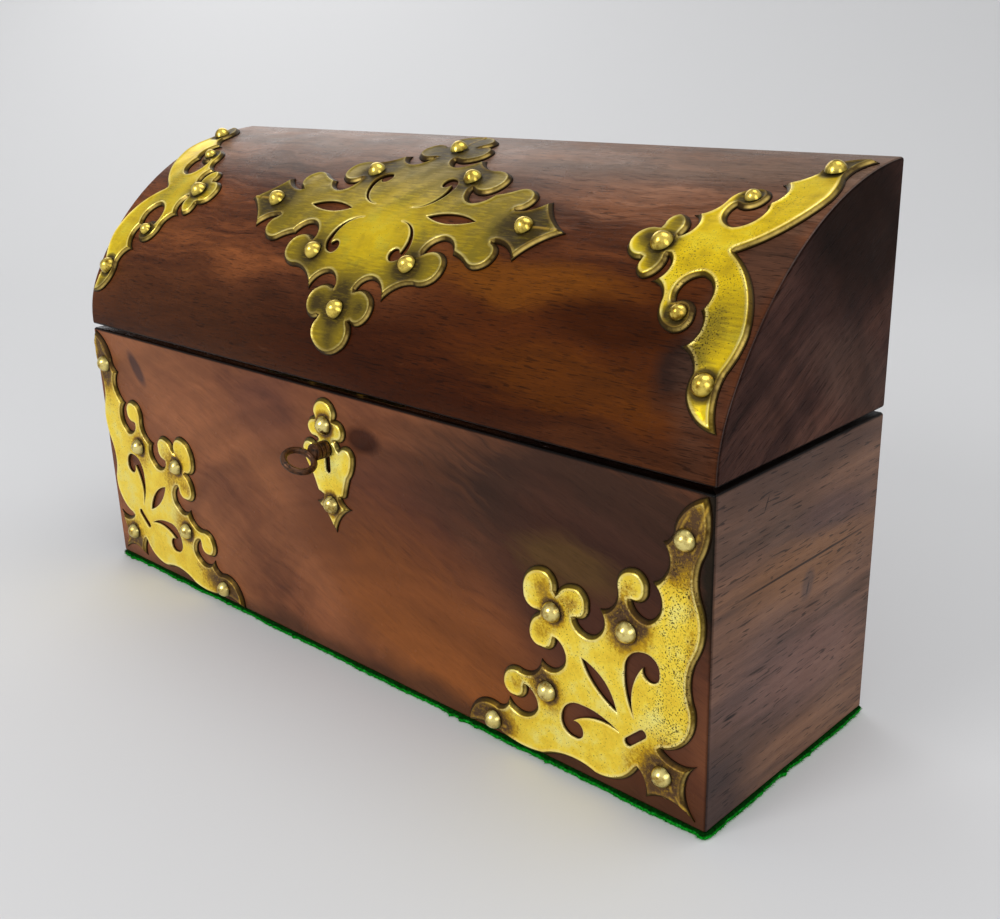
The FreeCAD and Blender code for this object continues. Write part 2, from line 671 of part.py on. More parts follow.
def lock_bolt():
    """Bar with a pocket for the key's bit and two fingers that slide over the hooks' toes."""
    corners = [(TALON_LEFT, BAR_LOW), (TALON_LEFT, TALON_HIGH), (TALON_RIGHT, TALON_HIGH),
               (TALON_RIGHT, BAR_LOW), (BAR_END, BAR_LOW), (BAR_END, BAR_HIGH)]
    for stem in reversed(HOOK_STEMS):
        tip = stem - FINGER_GAP - size_of("throw")
        tail = tip - FINGER_LONG
        corners += [(tail + RISER_WIDE, BAR_HIGH), (tail + RISER_WIDE, FINGER_LOW), (tip, FINGER_LOW),
                    (tip, FINGER_HIGH), (tail, FINGER_HIGH), (tail, BAR_HIGH)]
    corners[-1] = (tail, BAR_LOW)
    outline = [(beside(x), above(z)) for x, z in corners]
    return keep(prism("lock_bolt", "front", f"-({bolt_faces[1]})", "bolt_thick", outline))


def lock_spring():
    """Bowed leaf that presses on the bolt's bar from under a post in the case."""
    middle, base = size_of(beside(POST_X)), size_of("key_height")
    foot, top = base + SPRING_FOOT, base + SPRING_TOP
    reach = SPRING_HALF - SPRING_THICK
    outline = [
        (middle - SPRING_HALF, foot), ((middle, top), (middle + SPRING_HALF, foot)), (middle + reach, foot),
        ((middle, top - SPRING_THICK), (middle - reach, foot)), (middle - SPRING_HALF, foot),
    ]
    back = f"-({bolt_faces[1]}) + {SPRING_IN}"
    return keep(cut_sheet("lock_spring", "front", back, f"bolt_thick - {2 * SPRING_IN}", [outline]))


def lock_case():
    shell = block("case_block", case_span, (case_face, plate_face), ("case_low", top_plate_low))
    room = block("case_room", (f"{case_span[0]} + case_wall", f"{case_span[1]} - case_wall"),
                 (f"{case_face} + case_wall", f"{inside}"), ("case_low + case_wall", "base_top"))
    depth = (f"{case_face} + case_wall", plate_face)
    rails = [block(f"case_rail_{index}", span_beside(*rail), depth,
                   (above(BAR_LOW - RAIL_GAP - RAIL_THICK), above(BAR_LOW - RAIL_GAP)))
             for index, rail in enumerate(RAILS)]
    post = rod("case_spring_post", POST_RADIUS, "y", (beside(POST_X), above(POST_Z)), depth)
    box = without("case_shell", shell, room, keyhole_cutter)
    return keep(fused("lock_case", box, post, *rails))


keyhole_cutter = cut_sheet("keyhole_cutter", "front", f"-({case_face}) - 2 * case_wall",
                           "case_front + 4 * case_wall", [keyhole()])
back_places = [Placement(Vector(size_of(beside(x)), size_of(inside), z), TO_INSIDE) for x, z in BACK_SCREWS]
back_holes = screws("lock_back_screws", back_places)
top_screw_y, top_level = size_of(inside) - TOP_SCREW_IN, size_of("base_top")
top_places = [Placement(Vector(size_of(beside(x)), top_screw_y, top_level), UPWARDS) for x in TOP_SCREWS]
top_holes = screws("lock_top_screws", top_places)
lock_bolt()
lock_case()
lock_spring()
back_plate = block("back_plate_blank", plate_span, (plate_face, inside), ("plate_low", top_plate_low))
keep(without("lock_back_plate", back_plate, back_holes))
pin_span = (f"{case_face} - {PIN_OUT}", plate_face)
keep(rod("lock_drill_pin", "drill_pin", "y", ("lock_x", "key_height"), pin_span))
slot_faces = (f"{face} + {SLOT_FACES[0]}", f"{face} + {SLOT_FACES[1]}")
slot_levels = (f"{top_plate_low} - 1", "base_top + 1")
hook_slots = []
for index, stem in enumerate(HOOK_STEMS):
    slot_span = span_beside(stem - TOE_LONG - SLOT_SPARE, stem + STEM_WIDE + SLOT_SPARE)
    hook_slots.append(block(f"hook_slot_{index}", slot_span, slot_faces, slot_levels))
top_plate = block("top_plate_blank", plate_span, (case_face, inside), (top_plate_low, "base_top"))
keep(without("lock_top_plate", top_plate, top_holes, *hook_slots))

# Lock parts on the lid: a plate under the dome's front edge with two hooks

link_faces = (case_face, f"{bolt_faces[1]} + {LINK_SPARE}")
link_span = span_beside(-LINK_HALF, LINK_HALF)
link_places = [Placement(Vector(size_of(beside(x)), -half_depth + LINK_SCREW_IN, lid_foot), DOWNWARDS)
               for x in LINK_SCREWS]
link_holes = screws("link_screws", link_places)
link_pieces = [block("link_flat", link_span, link_faces, (lid_level, f"{lid_level} + {LINK_THICK}"))]
for index, stem in enumerate(HOOK_STEMS):
    link_pieces.append(block(f"hook_stem_{index}", span_beside(stem, stem + STEM_WIDE), bolt_faces,
                             (above(TOE_LOW), lid_level)))
    link_pieces.append(block(f"hook_toe_{index}", span_beside(stem - TOE_LONG, stem), bolt_faces,
                             (above(TOE_LOW), above(TOE_HIGH))))
keep(without("lock_link_plate", fused("link_blank", *link_pieces), link_holes))


# Base: four mitred boards round a bottom board, on baize

def mitred(label, corners, *tools):
    """A board of the base, its plan drawn with mitred ends."""
    board = prism(label if not tools else f"{label}_blank", "plan", "felt", "base_top - felt", corners)
    return keep(without(label, board, *tools) if tools else board)


def corner(side_x, side_y, inner):
    """A corner of the base's plan, on its outside or a wall's thickness in."""
    return (f"{side_x} * (box_length / 2 - {inner})", f"{side_y} * (box_depth / 2 - {inner})")


def bed(label, span, front, low):
    """A hollow in the front board, open to the inside and at the top."""
    return block(label, span, (f"{front} - fit", f"{inside} + 1"), (f"{low} - fit", "base_top + 1"))


lock_bed = [
    bed("case_bed", grown(case_span, "2 * fit"), case_face, "case_low"),
    bed("back_plate_bed", grown(plate_span, "fit"), plate_face, "plate_low"),
    bed("top_plate_bed", grown(plate_span, "fit"), case_face, top_plate_low),
]
front_corners = [corner(-1, -1, "0"), corner(1, -1, "0"), corner(1, -1, "wall"), corner(-1, -1, "wall")]
back_corners = [corner(1, 1, "0"), corner(-1, 1, "0"), corner(-1, 1, "wall"), corner(1, 1, "wall")]
front_cuts = [keyhole_cutter, *lock_bed, back_holes, top_holes, *base_stud_holes]
mitred("base_front_board", front_corners, *front_cuts)
mitred("base_back_board", back_corners, base_bevel, *base_hinge_cuts)
for name, side in (("left", -1), ("right", 1)):
    outer = [corner(side, -1, "0"), corner(side, 1, "0")]
    mitred(f"base_{name}_end", outer + [corner(side, 1, "wall"), corner(side, -1, "wall")], base_bevel)
inner_length = ("-box_length / 2 + wall", "box_length / 2 - wall")
inner_depth = ("-box_depth / 2 + wall", "box_depth / 2 - wall")
keep(block("base_bottom_board", inner_length, inner_depth, ("felt", "felt + floor_board")))
baize_spans = [grown((f"-{size} / 2", f"{size} / 2"), "felt_proud") for size in ("box_length", "box_depth")]
keep(block("underside_baize", *baize_spans, ("0", "felt")))


# Letter rack: three dividers with scooped tops, let into grooves in two cheeks

DIVIDERS = {"front": (-10, 52), "middle": (3.5, 64), "back": (17, 76)}
SCOOP_HALF, SCOOP_DEEP = 40, 12
rack_floor = "felt + floor_board"


def divider(name, y, top):
    reach, low = size_of("box_length / 2 - wall - divider + groove"), size_of(rack_floor)
    outline = [(-reach, low), (reach, low), (reach, top), (SCOOP_HALF, top),
               ((0, top - SCOOP_DEEP), (-SCOOP_HALF, top)), (-reach, top), (-reach, low)]
    keep(cut_sheet(f"{name}_divider", "front", f"-({y}) - divider / 2", "divider", [outline]))


for name, (y, top) in DIVIDERS.items():
    divider(name, y, top)


def from_end(side, *distances):
    """A span along the box between two distances from the inside of one end board."""
    span = [f"{side} * (box_length / 2 - wall - ({distance}))" for distance in distances]
    return sorted(span, key=size_of)


for name, side in (("left", -1), ("right", 1)):
    cheek_span = from_end(side, "0", "divider")
    cheek = block(f"{name}_cheek_blank", cheek_span, inner_depth, (rack_floor, "rack_top"))
    groove_span = from_end(side, "divider - groove", "divider + 1")
    grooves = [block(f"{name}_groove_{index}", groove_span, (f"{y} - divider / 2", f"{y} + divider / 2"),
                     (rack_floor, f"{top}")) for index, (y, top) in enumerate(DIVIDERS.values())]
    keep(without(f"rack_{name}_cheek", cheek, *grooves))


# Lid: a dome board, a back board and two ends, all meeting in mitres

def lid_end(name, side):
    """Solid between the dome's outer section at the end face and its inner section one wall in."""
    body = doc.addObject("PartDesign::Body", f"lid_{name}_end_blank")
    sections = []
    for inset, place in (("0", "box_length / 2"), ("wall", "box_length / 2 - wall")):
        depth = size_of(inset)
        run = dome_run(depth, half_depth - depth)
        outline = joined(run, [end_of(run[-1]), (half_depth - depth, lid_foot), run[0]])
        sketch = drawing(body, f"lid_{name}_section_{len(sections)}", "section", f"{side} * ({place})")
        draw(sketch, [outline])
        sections.append(sketch)
    loft = body.newObject("PartDesign::AdditiveLoft", f"lid_{name}_loft")
    loft.Profile = sections[0]
    loft.Sections = [sections[1]]
    loft.Ruled = True
    return body


def along_box(label, outline):
    """A section padded over the box's whole length."""
    return cut_sheet(label, "section", "-box_length / 2", "box_length", [outline])


def layer(label, inner, outer, inner_back):
    """The space between two insets of the dome, from its foot to the back."""
    low, high = dome_run(inner, inner_back), dome_run(outer, half_depth)
    back_edge, foot_edge = [end_of(high[-1]), end_of(low[-1])], [low[0], high[0]]
    return along_box(label, joined(high, back_edge, backwards(low), foot_edge))


SLANT = 45
SLANT_BACK, SLANT_DEEP = 12, 28


def on_slant(point):
    """From (x, distance up the dome) to a drawing plane that leans back over the dome."""
    (y, z), angle = dome_point(point[1], size_of("mount_thick / 2"))
    lean = math.radians(SLANT)
    return (point[0], (y + half_depth) * math.cos(lean) + (z - lid_foot) * math.sin(lean))


def dome_mount(name, runs, points):
    """A mount bent to the dome, with its studs; returns the holes for their pins."""
    label = f"lid_{name}_mount"
    cutter = doc.addObject("PartDesign::Body", f"{label}_cutter")
    sketch = drawing(cutter, f"{label}_outline", "front", "0")
    sketch.AttachmentOffset = Placement(Vector(), Rotation(Vector(1, 0, 0), -SLANT))
    for side, level, part in (("y", lid_level, "sin"), ("z", "box_depth / 2", "cos")):
        start = f"{level} - {SLANT_BACK} * {part}({SLANT} * 1deg)"
        sketch.setExpression(f"AttachmentOffset.Base.{side}", bound(start))
    draw(sketch, [moved(run, on_slant) for run in runs])
    pad(cutter, sketch, f"{SLANT_DEEP}", f"{label}_pad")
    bent = doc.addObject("Part::Common", f"{label}_bent")
    bent.Base = mount_layer
    bent.Tool = cutter
    holes = group(f"{label}_stud_holes", stud_hole, dome_places(points))
    keep(without(label, bent, holes))
    keep(group(f"{label}_studs", stud, dome_places(points)))
    return holes


def dome_places(points):
    places = []
    for x, distance in points:
        (y, z), angle = dome_point(distance, size_of("mount_thick"))
        places.append(Placement(Vector(x, y, z), Rotation(Vector(1, 0, 0), 90 - math.degrees(angle))))
    return places


mount_layer = layer("mount_layer", 0, -size_of("mount_thick"), half_depth)
centre_cuts = [CENTRE_HOOK, moved(CENTRE_HOOK, across), moved(CENTRE_HOOK, over_dome),
               moved(moved(CENTRE_HOOK, across), over_dome), CENTRE_LENS, moved(CENTRE_LENS, across)]
left_side = [across(point) for point in SIDE_STUDS]
lid_stud_holes = [
    dome_mount("left", [moved(SIDE, across)], left_side),
    dome_mount("right", [SIDE], SIDE_STUDS),
    dome_mount("centre", [CENTRE] + centre_cuts, CENTRE_STUDS),
]
lid_ends = {name: lid_end(name, side) for name, side in (("left", -1), ("right", 1))}
for name, blank in lid_ends.items():
    keep(without(f"lid_{name}_end", blank, lid_bevel))
link_bed = block("link_bed", grown(link_span, "fit"), grown(link_faces, "fit"),
                 (f"{lid_level} - 1", f"{lid_level} + {LINK_THICK}"))
dome_cuts = [*lid_ends.values(), link_bed, link_holes, *lid_stud_holes]
keep(without("lid_dome_board", layer("lid_dome_blank", wall, 0, half_depth - wall), *dome_cuts))
top_outside, top_inside = [end_of(dome_run(inset, half_depth - inset)[-1]) for inset in (0, wall)]
back_outline = [(half_depth - wall, lid_foot), (half_depth, lid_foot), top_outside, top_inside,
                (half_depth - wall, lid_foot)]
keep(without("lid_back_board", along_box("lid_back_blank", back_outline), *lid_ends.values(), lid_bevel,
             *lid_hinge_cuts))


# Key, resting in the lock with its bit in the bolt's pocket

COLLARS, COLLAR_FIRST, COLLAR_STEP, COLLAR_LONG, COLLAR_RADIUS = 3, 1.5, 1.4, 1.1, 2.35
KEY_IN, KEY_OUT = 6, 6
BIT_FROM, BIT_FACES = 1.2, (3.1, 5.8)
BOW_TURN = 30


def bit_corner(along, aside):
    """A corner of the bit, measured from the key's axis along the bit and across it."""
    lean = "key_rest * 1deg"
    return (f"lock_x - ({along}) * sin({lean}) + ({aside}) * cos({lean})",
            f"key_height + ({along}) * cos({lean}) + ({aside}) * sin({lean})")


key_axis = ("lock_x", "key_height")
shank = rod("key_shank", "shank_radius", "y", key_axis, (f"{face} - {KEY_OUT}", f"{face} + {KEY_IN}"))
collars = []
for index in range(COLLARS):
    out = COLLAR_FIRST + index * COLLAR_STEP
    span = (f"{face} - {out + COLLAR_LONG}", f"{face} - {out}")
    collars.append(rod(f"key_collar_{index}", COLLAR_RADIUS, "y", key_axis, span))
bit_corners = [bit_corner(along, f"{side} * bit_thick / 2")
               for along, side in ((BIT_FROM, -1), ("bit_reach", -1), ("bit_reach", 1), (BIT_FROM, 1))]
bit = prism("key_bit", "front", f"box_depth / 2 - {BIT_FACES[1]}", BIT_FACES[1] - BIT_FACES[0], bit_corners)
bow = doc.addObject("Part::Torus", "key_bow")
bow.setExpression("Radius1", bound("bow_radius"))
bow.setExpression("Radius2", bound("bow_wire"))
bow.Placement = Placement(Vector(), Rotation(Vector(0, 1, 0), BOW_TURN))
for side, formula in (("x", "lock_x"), ("y", f"{face} - bow_out"), ("z", "key_height - bow_drop")):
    bow.setExpression(f"Placement.Base.{side}", bound(formula))
bore = rod("key_bore", "drill_pin + 2 * fit", "y", key_axis, (f"{face} + 1", f"{face} + {KEY_IN} + 1"))
keep(without("key", fused("key_blank", shank, bow, bit, *collars), bore))


# Checks, then one file for each piece

doc.recompute()
failed = [item.Label for item in doc.Objects if {"Invalid", "Error"} & set(item.State)]
if failed:
    raise RuntimeError(f"not built: {failed}")
os.makedirs("parts", exist_ok=True)
for node in nodes:
    if node.Shape.isNull() or not node.Shape.isValid() or not node.Shape.Solids:
        raise RuntimeError(f"no sound solid: {node.Label}")
for node in nodes:
    node.Shape.exportStep(f"parts/{node.Label}.step")
    print(f"{node.Label}: {len(node.Shape.Solids)} solid(s), {node.Shape.Volume:.1f} cubic mm")
print(len(nodes), "pieces")
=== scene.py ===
"""Dome top letter box in polished walnut with pierced gilt brass mounts."""

import json
import math
from functools import partial

import bmesh
import bpy
import numpy as np
from bpy.props import FloatProperty, FloatVectorProperty, IntProperty, PointerProperty
from mathutils import Matrix, Vector
from mathutils.geometry import delaunay_2d_cdt
from mathutils.kdtree import KDTree

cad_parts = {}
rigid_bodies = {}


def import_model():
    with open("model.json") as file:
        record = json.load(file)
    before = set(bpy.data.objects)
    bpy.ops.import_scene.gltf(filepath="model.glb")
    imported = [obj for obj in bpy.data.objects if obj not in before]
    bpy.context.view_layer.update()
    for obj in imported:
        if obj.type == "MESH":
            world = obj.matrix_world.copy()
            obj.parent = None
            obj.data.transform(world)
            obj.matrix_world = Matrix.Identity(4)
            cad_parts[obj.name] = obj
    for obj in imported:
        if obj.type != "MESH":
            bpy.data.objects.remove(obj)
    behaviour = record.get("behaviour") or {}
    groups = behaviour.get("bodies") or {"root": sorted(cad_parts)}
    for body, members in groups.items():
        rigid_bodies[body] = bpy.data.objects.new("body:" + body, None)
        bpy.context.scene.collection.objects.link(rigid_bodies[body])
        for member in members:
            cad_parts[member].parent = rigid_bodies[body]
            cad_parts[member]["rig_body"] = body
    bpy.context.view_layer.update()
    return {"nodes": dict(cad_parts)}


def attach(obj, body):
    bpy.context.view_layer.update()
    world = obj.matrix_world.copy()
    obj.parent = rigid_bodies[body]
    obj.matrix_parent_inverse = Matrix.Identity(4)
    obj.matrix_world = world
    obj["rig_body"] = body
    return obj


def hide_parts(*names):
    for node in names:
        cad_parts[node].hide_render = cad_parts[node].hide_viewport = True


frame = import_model()

bl_info = {
    "name": "Dome Top Letter Box",
    "version": (1, 0, 0),
    "blender": (4, 5, 0),
    "location": "View3D > Sidebar > Letter Box",
    "description": "Dresses a domed walnut letter box: boards, brass mounts, studs, lock, key and baize",
    "category": "Object",
}

MM = 0.001
WELD = 1e-6    # points nearer than this are one, in metres
rng = np.random.default_rng(1868)


# Colours and sizes that a user would change

def linear(code):
    """sRGB hex to linear red, green and blue."""
    parts = [int(code[place:place + 2], 16) / 255 for place in (1, 3, 5)]
    return tuple(part / 12.92 if part <= 0.04045 else ((part + 0.055) / 1.055) ** 2.4 for part in parts)


def opaque(tint):
    """A hex code, or red, green and blue, as a colour with its alpha."""
    return (*(linear(tint) if isinstance(tint, str) else tint), 1.0)


def colour(name, description, code):
    return FloatVectorProperty(name=name, description=description, default=linear(code), size=3,
                               subtype="COLOR", min=0, max=1)


def length(name, description, millimetres):
    return FloatProperty(name=name, description=description, default=millimetres * MM, min=0,
                         unit="LENGTH", subtype="DISTANCE")


def number(name, description, value):
    return FloatProperty(name=name, description=description, default=value, min=0, subtype="FACTOR")


class LetterBoxSizes(bpy.types.PropertyGroup):
    arris: length("Arris", "Radius to which the boards' outer edges are worn", 0.8)
    metal_edge: length("Metal edge", "Bevel on the edges of the lock, hinges and plates", 0.12)
    rack_edge: length("Rack edge", "Bevel on the edges of the letter rack", 0.35)
    mount_step: length("Mount step", "Spacing of the points that a brass mount is meshed with", 0.85)
    mount_wave: length("Mount wave", "How far the brass sheet rolls up and down", 0.05)
    stud_spread: number("Stud spread", "How much one stud's size differs from the next", 0.05)
    nap_length: length("Nap length", "Longest fibre at the edge of the baize", 0.9)
    nap_count: IntProperty(name="Nap count", description="Fibres round the baize", default=5200, min=0)
    baize_wander: length("Baize wander", "How far the baize's cut edge strays", 0.35)
    floor_reach: length("Floor reach", "Half the width of the pale floor", 4000)


class LetterBoxColours(bpy.types.PropertyGroup):
    walnut_red: colour("Red walnut", "Wood at the left of the front", "#72432a")
    walnut_flame: colour("Flame figure", "Lightest wood in the flame figure", "#8c5636")
    walnut_dark: colour("Dark walnut", "Darkest wood of the front", "#4a281c")
    walnut_dome: colour("Dome walnut", "Main wood of the dome", "#542c17")
    walnut_end: colour("End walnut", "Dull brown wood of the ends", "#664a3c")
    walnut_lid_end: colour("Lid end walnut", "Dark wood of the lid's ends", "#3a2520")
    rack_wood: colour("Rack walnut", "Plain wood inside the box", "#6b4023")
    gold: colour("Gilt brass", "Clean lacquered brass of the mounts", "#ffe04a")
    pale_gold: colour("Stud gold", "Rubbed tops of the studs", "#f0de8c")
    lock_brass: colour("Lock brass", "Plain brass of the lock and hinges", "#c6a252")
    steel: colour("Lock steel", "Bolt, spring and pins", "#8c8a86")
    iron: colour("Key iron", "Dark oxidised iron of the key", "#54341c")
    baize: colour("Baize", "Green wool under the box", "#078c1a")
    floor: colour("Floor", "Pale floor and backdrop", "#d2d2d3")


def sizes():
    return bpy.context.scene.letter_box_sizes


def colours():
    return bpy.context.scene.letter_box_colours


# Node helpers

PREFIXES = {"SHADER": "ShaderNode", "GEOMETRY": "GeometryNode"}


def add(tree, kind, *values, take=0, stops=None, **settings):
    """Adds a node and returns one of its outputs, or the node itself where take is None.

    A word after a colon in the kind sets the node's operation or data type. The open inputs take the values in
    order, with None for one to leave alone, or by name from a dictionary.
    """
    kind, _, choice = kind.partition(":")
    node = tree.nodes.new(kind if "Node" in kind else PREFIXES[tree.type] + kind)
    if choice:
        settings["operation" if hasattr(node, "operation") else "data_type"] = choice
    for name, value in settings.items():
        setattr(node, name, value)
    if stops:
        points = node.color_ramp.elements
        for point, (place, tint) in zip((points[0], points[1]), (stops[0], stops[-1])):
            point.position, point.color = place, opaque(tint)
        for place, tint in stops[1:-1]:
            points.new(place).color = opaque(tint)
    if values and isinstance(values[0], dict):
        filled = [(node.inputs[key], value) for key, value in values[0].items()]
    else:
        filled = zip([socket for socket in node.inputs if socket.enabled], values)
    for socket, value in filled:
        if isinstance(value, bpy.types.NodeSocket):
            tree.links.new(value, socket)
        elif value is not None:
            socket.default_value = opaque(value) if str(value).startswith("#") else value
    if take is None or not node.outputs:
        return node
    return node.outputs[take] if isinstance(take, str) else [out for out in node.outputs if out.enabled][take]


def new_material(name, **shader_values):
    """A material with one Principled shader, a function that adds its nodes and one that links to the shader."""
    material = bpy.data.materials.new(name)
    material.use_nodes = True
    tree = material.node_tree
    tree.nodes.clear()
    shader = add(tree, "BsdfPrincipled", {key.replace("_", " "): value for key, value in shader_values.items()},
                 take=None)
    add(tree, "OutputMaterial", shader.outputs[0])
    return material, partial(add, tree), lambda name, value: tree.links.new(value, shader.inputs[name])


def place_in(node, order):
    """Coordinates in millimetres with the grain first: object axes in the given order, or the surface map."""
    if order == "surface":
        return node("VectorMath:SCALE", node("UVMap", uv_map="surface"), 1000)
    parts = node("SeparateXYZ", node("VectorMath:SCALE", node("TexCoord", take="Object"), 1000), take=None)
    return node("CombineXYZ", *(parts.outputs["xyz".index(axis)] for axis in order))


def soft_patch(node, place, centre, reach, angle):
    """A soft-edged ellipse, 1 in its middle and 0 outside. Centre and reach are in millimetres."""
    away = node("VectorMath:SUBTRACT", place, (*centre, 0))
    away = node("VectorRotate", {"Vector": away, "Angle": angle}, rotation_type="Z_AXIS")
    away = node("VectorMath:MULTIPLY", away, (1 / reach[0], 1 / reach[1], 0))
    return node("TexGradient", away, take="Fac", gradient_type="SPHERICAL")


def per(*spans):
    """The scale at which one unit is the given number of millimetres each way."""
    return [1 / span for span in spans]


def noise(node, place, spans, *detail):
    """Noise that changes over the given number of millimetres each way."""
    return node("TexNoise", node("VectorMath:DIVIDE", place, spans), 1, *detail)


# The dome's section: a short straight foot, a tight front bend and a wide back bend

HALF_LENGTH, HALF_DEPTH = 120.0, 35.0
BASE_FOOT, BASE_TOP = 1.6, 80.5
LID_FOOT, STRAIGHT = 81.7, 1.2
SPRING_LINE = LID_FOOT + STRAIGHT
TIGHT, TIGHT_TURN = 30.0, math.radians(28)
WIDE = 79.35
TIGHT_MIDDLE = (-HALF_DEPTH + TIGHT, SPRING_LINE)
WIDE_MIDDLE = (TIGHT_MIDDLE[0] + (WIDE - TIGHT) * math.cos(TIGHT_TURN),
               TIGHT_MIDDLE[1] - (WIDE - TIGHT) * math.sin(TIGHT_TURN))
TIGHT_END = STRAIGHT + TIGHT * TIGHT_TURN
DOME_END = TIGHT_END + WIDE * (math.acos((WIDE_MIDDLE[0] - HALF_DEPTH) / WIDE) - TIGHT_TURN)


def on_dome(across, up, lift):
    """Points on the dome from the distance along the box, the distance up the dome and the height above it."""
    tight_turn = (up - STRAIGHT) / TIGHT
    wide_turn = TIGHT_TURN + (up - TIGHT_END) / WIDE
    wide = up > TIGHT_END
    angle = np.where(up < STRAIGHT, 0, np.where(wide, wide_turn, tight_turn))
    radius = np.where(wide, WIDE, TIGHT) + lift
    depth = np.where(wide, WIDE_MIDDLE[0], TIGHT_MIDDLE[0]) - radius * np.cos(angle)
    height = np.where(wide, WIDE_MIDDLE[1], TIGHT_MIDDLE[1]) + radius * np.sin(angle)
    straight = up < STRAIGHT
    return np.stack([across, np.where(straight, -HALF_DEPTH - lift, depth),
                     np.where(straight, LID_FOOT + up, height)], axis=-1)


def dome_place(points):
    """The inverse of on_dome, with the angle turned there: across, up, lift, angle."""
    across, depth, height = points.T
    tight_angle = np.arctan2(height - TIGHT_MIDDLE[1], TIGHT_MIDDLE[0] - depth)
    wide_angle = np.arctan2(height - WIDE_MIDDLE[1], WIDE_MIDDLE[0] - depth)
    straight, wide = height < SPRING_LINE, tight_angle > TIGHT_TURN
    angle = np.where(straight, 0, np.where(wide, wide_angle, tight_angle))
    up = np.where(straight, height - LID_FOOT,
                  np.where(wide, TIGHT_END + (wide_angle - TIGHT_TURN) * WIDE, STRAIGHT + tight_angle * TIGHT))
    lift = np.where(straight, -HALF_DEPTH - depth,
                    np.where(wide, np.hypot(depth - WIDE_MIDDLE[0], height - WIDE_MIDDLE[1]) - WIDE,
                             np.hypot(depth - TIGHT_MIDDLE[0], height - TIGHT_MIDDLE[1]) - TIGHT))
    return across, up, lift, angle


def on_front(across, up, lift):
    return np.stack([across, -HALF_DEPTH - lift, up], axis=-1)


def front_place(points):
    across, depth, height = points.T
    return across, height, -HALF_DEPTH - depth, np.zeros(len(points))


def surface_of(node):
    """The functions that put points on the surface a piece lies on, and that read them back."""
    return (on_dome, dome_place) if node.startswith("lid_") else (on_front, front_place)


# Mesh helpers

def finish_piece(piece, body, material, slot, *nodes):
    """Gives a piece its material and body, and lets it stand for its CAD nodes. The slot is not used."""
    piece.data.materials.clear()
    piece.data.materials.append(material)
    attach(piece, body)
    if nodes:
        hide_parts(*nodes)
    return piece


def new_object(name, mesh):
    piece = bpy.data.objects.new(name, mesh)
    bpy.context.scene.collection.objects.link(piece)
    return piece


def mesh_of(work, name, sharp=None):
    """A mesh from finished bmesh work, shaded smooth up to the sharp angle in degrees where one is given."""
    mesh = bpy.data.meshes.new(name)
    work.to_mesh(mesh)
    work.free()
    if sharp:
        shade(mesh, sharp)
    return mesh


def shade(mesh, sharp):
    mesh.shade_smooth()
    mesh.set_sharp_from_angle(angle=math.radians(sharp))


def read(items, label, width=1, kind=np.float64):
    """One property of all the vertices, corners or faces of a mesh."""
    out = np.empty(len(items) * width, dtype=kind)
    items.foreach_get(label, out)
    return out.reshape(-1, width) if width > 1 else out


def write_attribute(mesh, name, values):
    layer = mesh.attributes.new(name, "FLOAT", "POINT")
    layer.data.foreach_set("value", np.asarray(values, dtype=np.float32))


def write_surface_map(mesh, flat):
    """A UV map with each vertex's place on the unrolled surface, given in millimetres."""
    corners = read(mesh.loops, "vertex_index", kind=np.int32)
    mesh.uv_layers.new(name="surface").data.foreach_set("uv", (flat[corners] * MM).ravel())


def join_rings(work, rings):
    """Faces between each closed ring of vertices and the next."""
    made = []
    for lower, upper in zip(rings, rings[1:]):
        for index in range(len(lower)):
            after = (index + 1) % len(lower)
            made.append(work.faces.new((lower[index], lower[after], upper[after], upper[index])))
    return made


def body_of(node):
    return frame["nodes"][node]["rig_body"]


def welded_copy(node):
    """A CAD node's mesh as an editable copy with its loose triangles joined."""
    work = bmesh.new()
    work.from_mesh(frame["nodes"][node].data)
    bmesh.ops.remove_doubles(work, verts=work.verts, dist=WELD)
    return work


def islands(node):
    """The separate solids of a CAD node, each as an array of its points in millimetres."""
    work = welded_copy(node)
    seen, found = set(), []
    for start in work.verts:
        if start not in seen:
            group = [start]
            seen.add(start)
            for vert in group:    # the group grows while it is walked
                near = [edge.other_vert(vert) for edge in vert.link_edges]
                group += [other for other in near if other not in seen]
                seen.update(near)
            found.append(np.array([tuple(vert.co * 1000) for vert in group]))
    work.free()
    return found


def eased_copy(node, width, material, slot):
    """A CAD node's own shape with its sharp edges eased."""
    work = welded_copy(node)
    bmesh.ops.dissolve_limit(work, angle_limit=math.radians(0.3), verts=work.verts, edges=work.edges)
    sharp = [edge for edge in work.edges if len(edge.link_faces) == 2
             and edge.calc_face_angle() > math.radians(40)]
    bmesh.ops.bevel(work, geom=sharp, offset=width, offset_type="OFFSET", segments=2, profile=0.5,
                    affect="EDGES", clamp_overlap=True)
    name = f"{node}_finished"
    return finish_piece(new_object(name, mesh_of(work, name, 32)), body_of(node), material, slot, node)


# Boards: the CAD shape with worn arrises

# Where the edges beside an arris lie, as shares of its radius
ROUND_INSETS = [1 - math.tan(math.radians(turn)) for turn in (0, 15, 30)]
ON_FACE = 2e-3    # a point this near to a face lies on it, in millimetres


def outer_faces(points, lid):
    """Depth of each point below each outer face, and that face's outward normal."""
    x, y, z = points.T
    right, back, up = (np.tile(way, (len(points), 1)) for way in np.eye(3))
    faces = [(HALF_LENGTH - np.abs(x), np.sign(x)[:, None] * right), (HALF_DEPTH - y, back)]
    if lid:
        _, _, lift, angle = dome_place(points)
        dome = np.stack([0 * x, -np.cos(angle), np.sin(angle)], axis=-1)
        return faces + [(-lift, dome), (z - LID_FOOT, -up)]
    return faces + [(HALF_DEPTH + y, -back), (z - BASE_FOOT, -up), (BASE_TOP - z, up)]


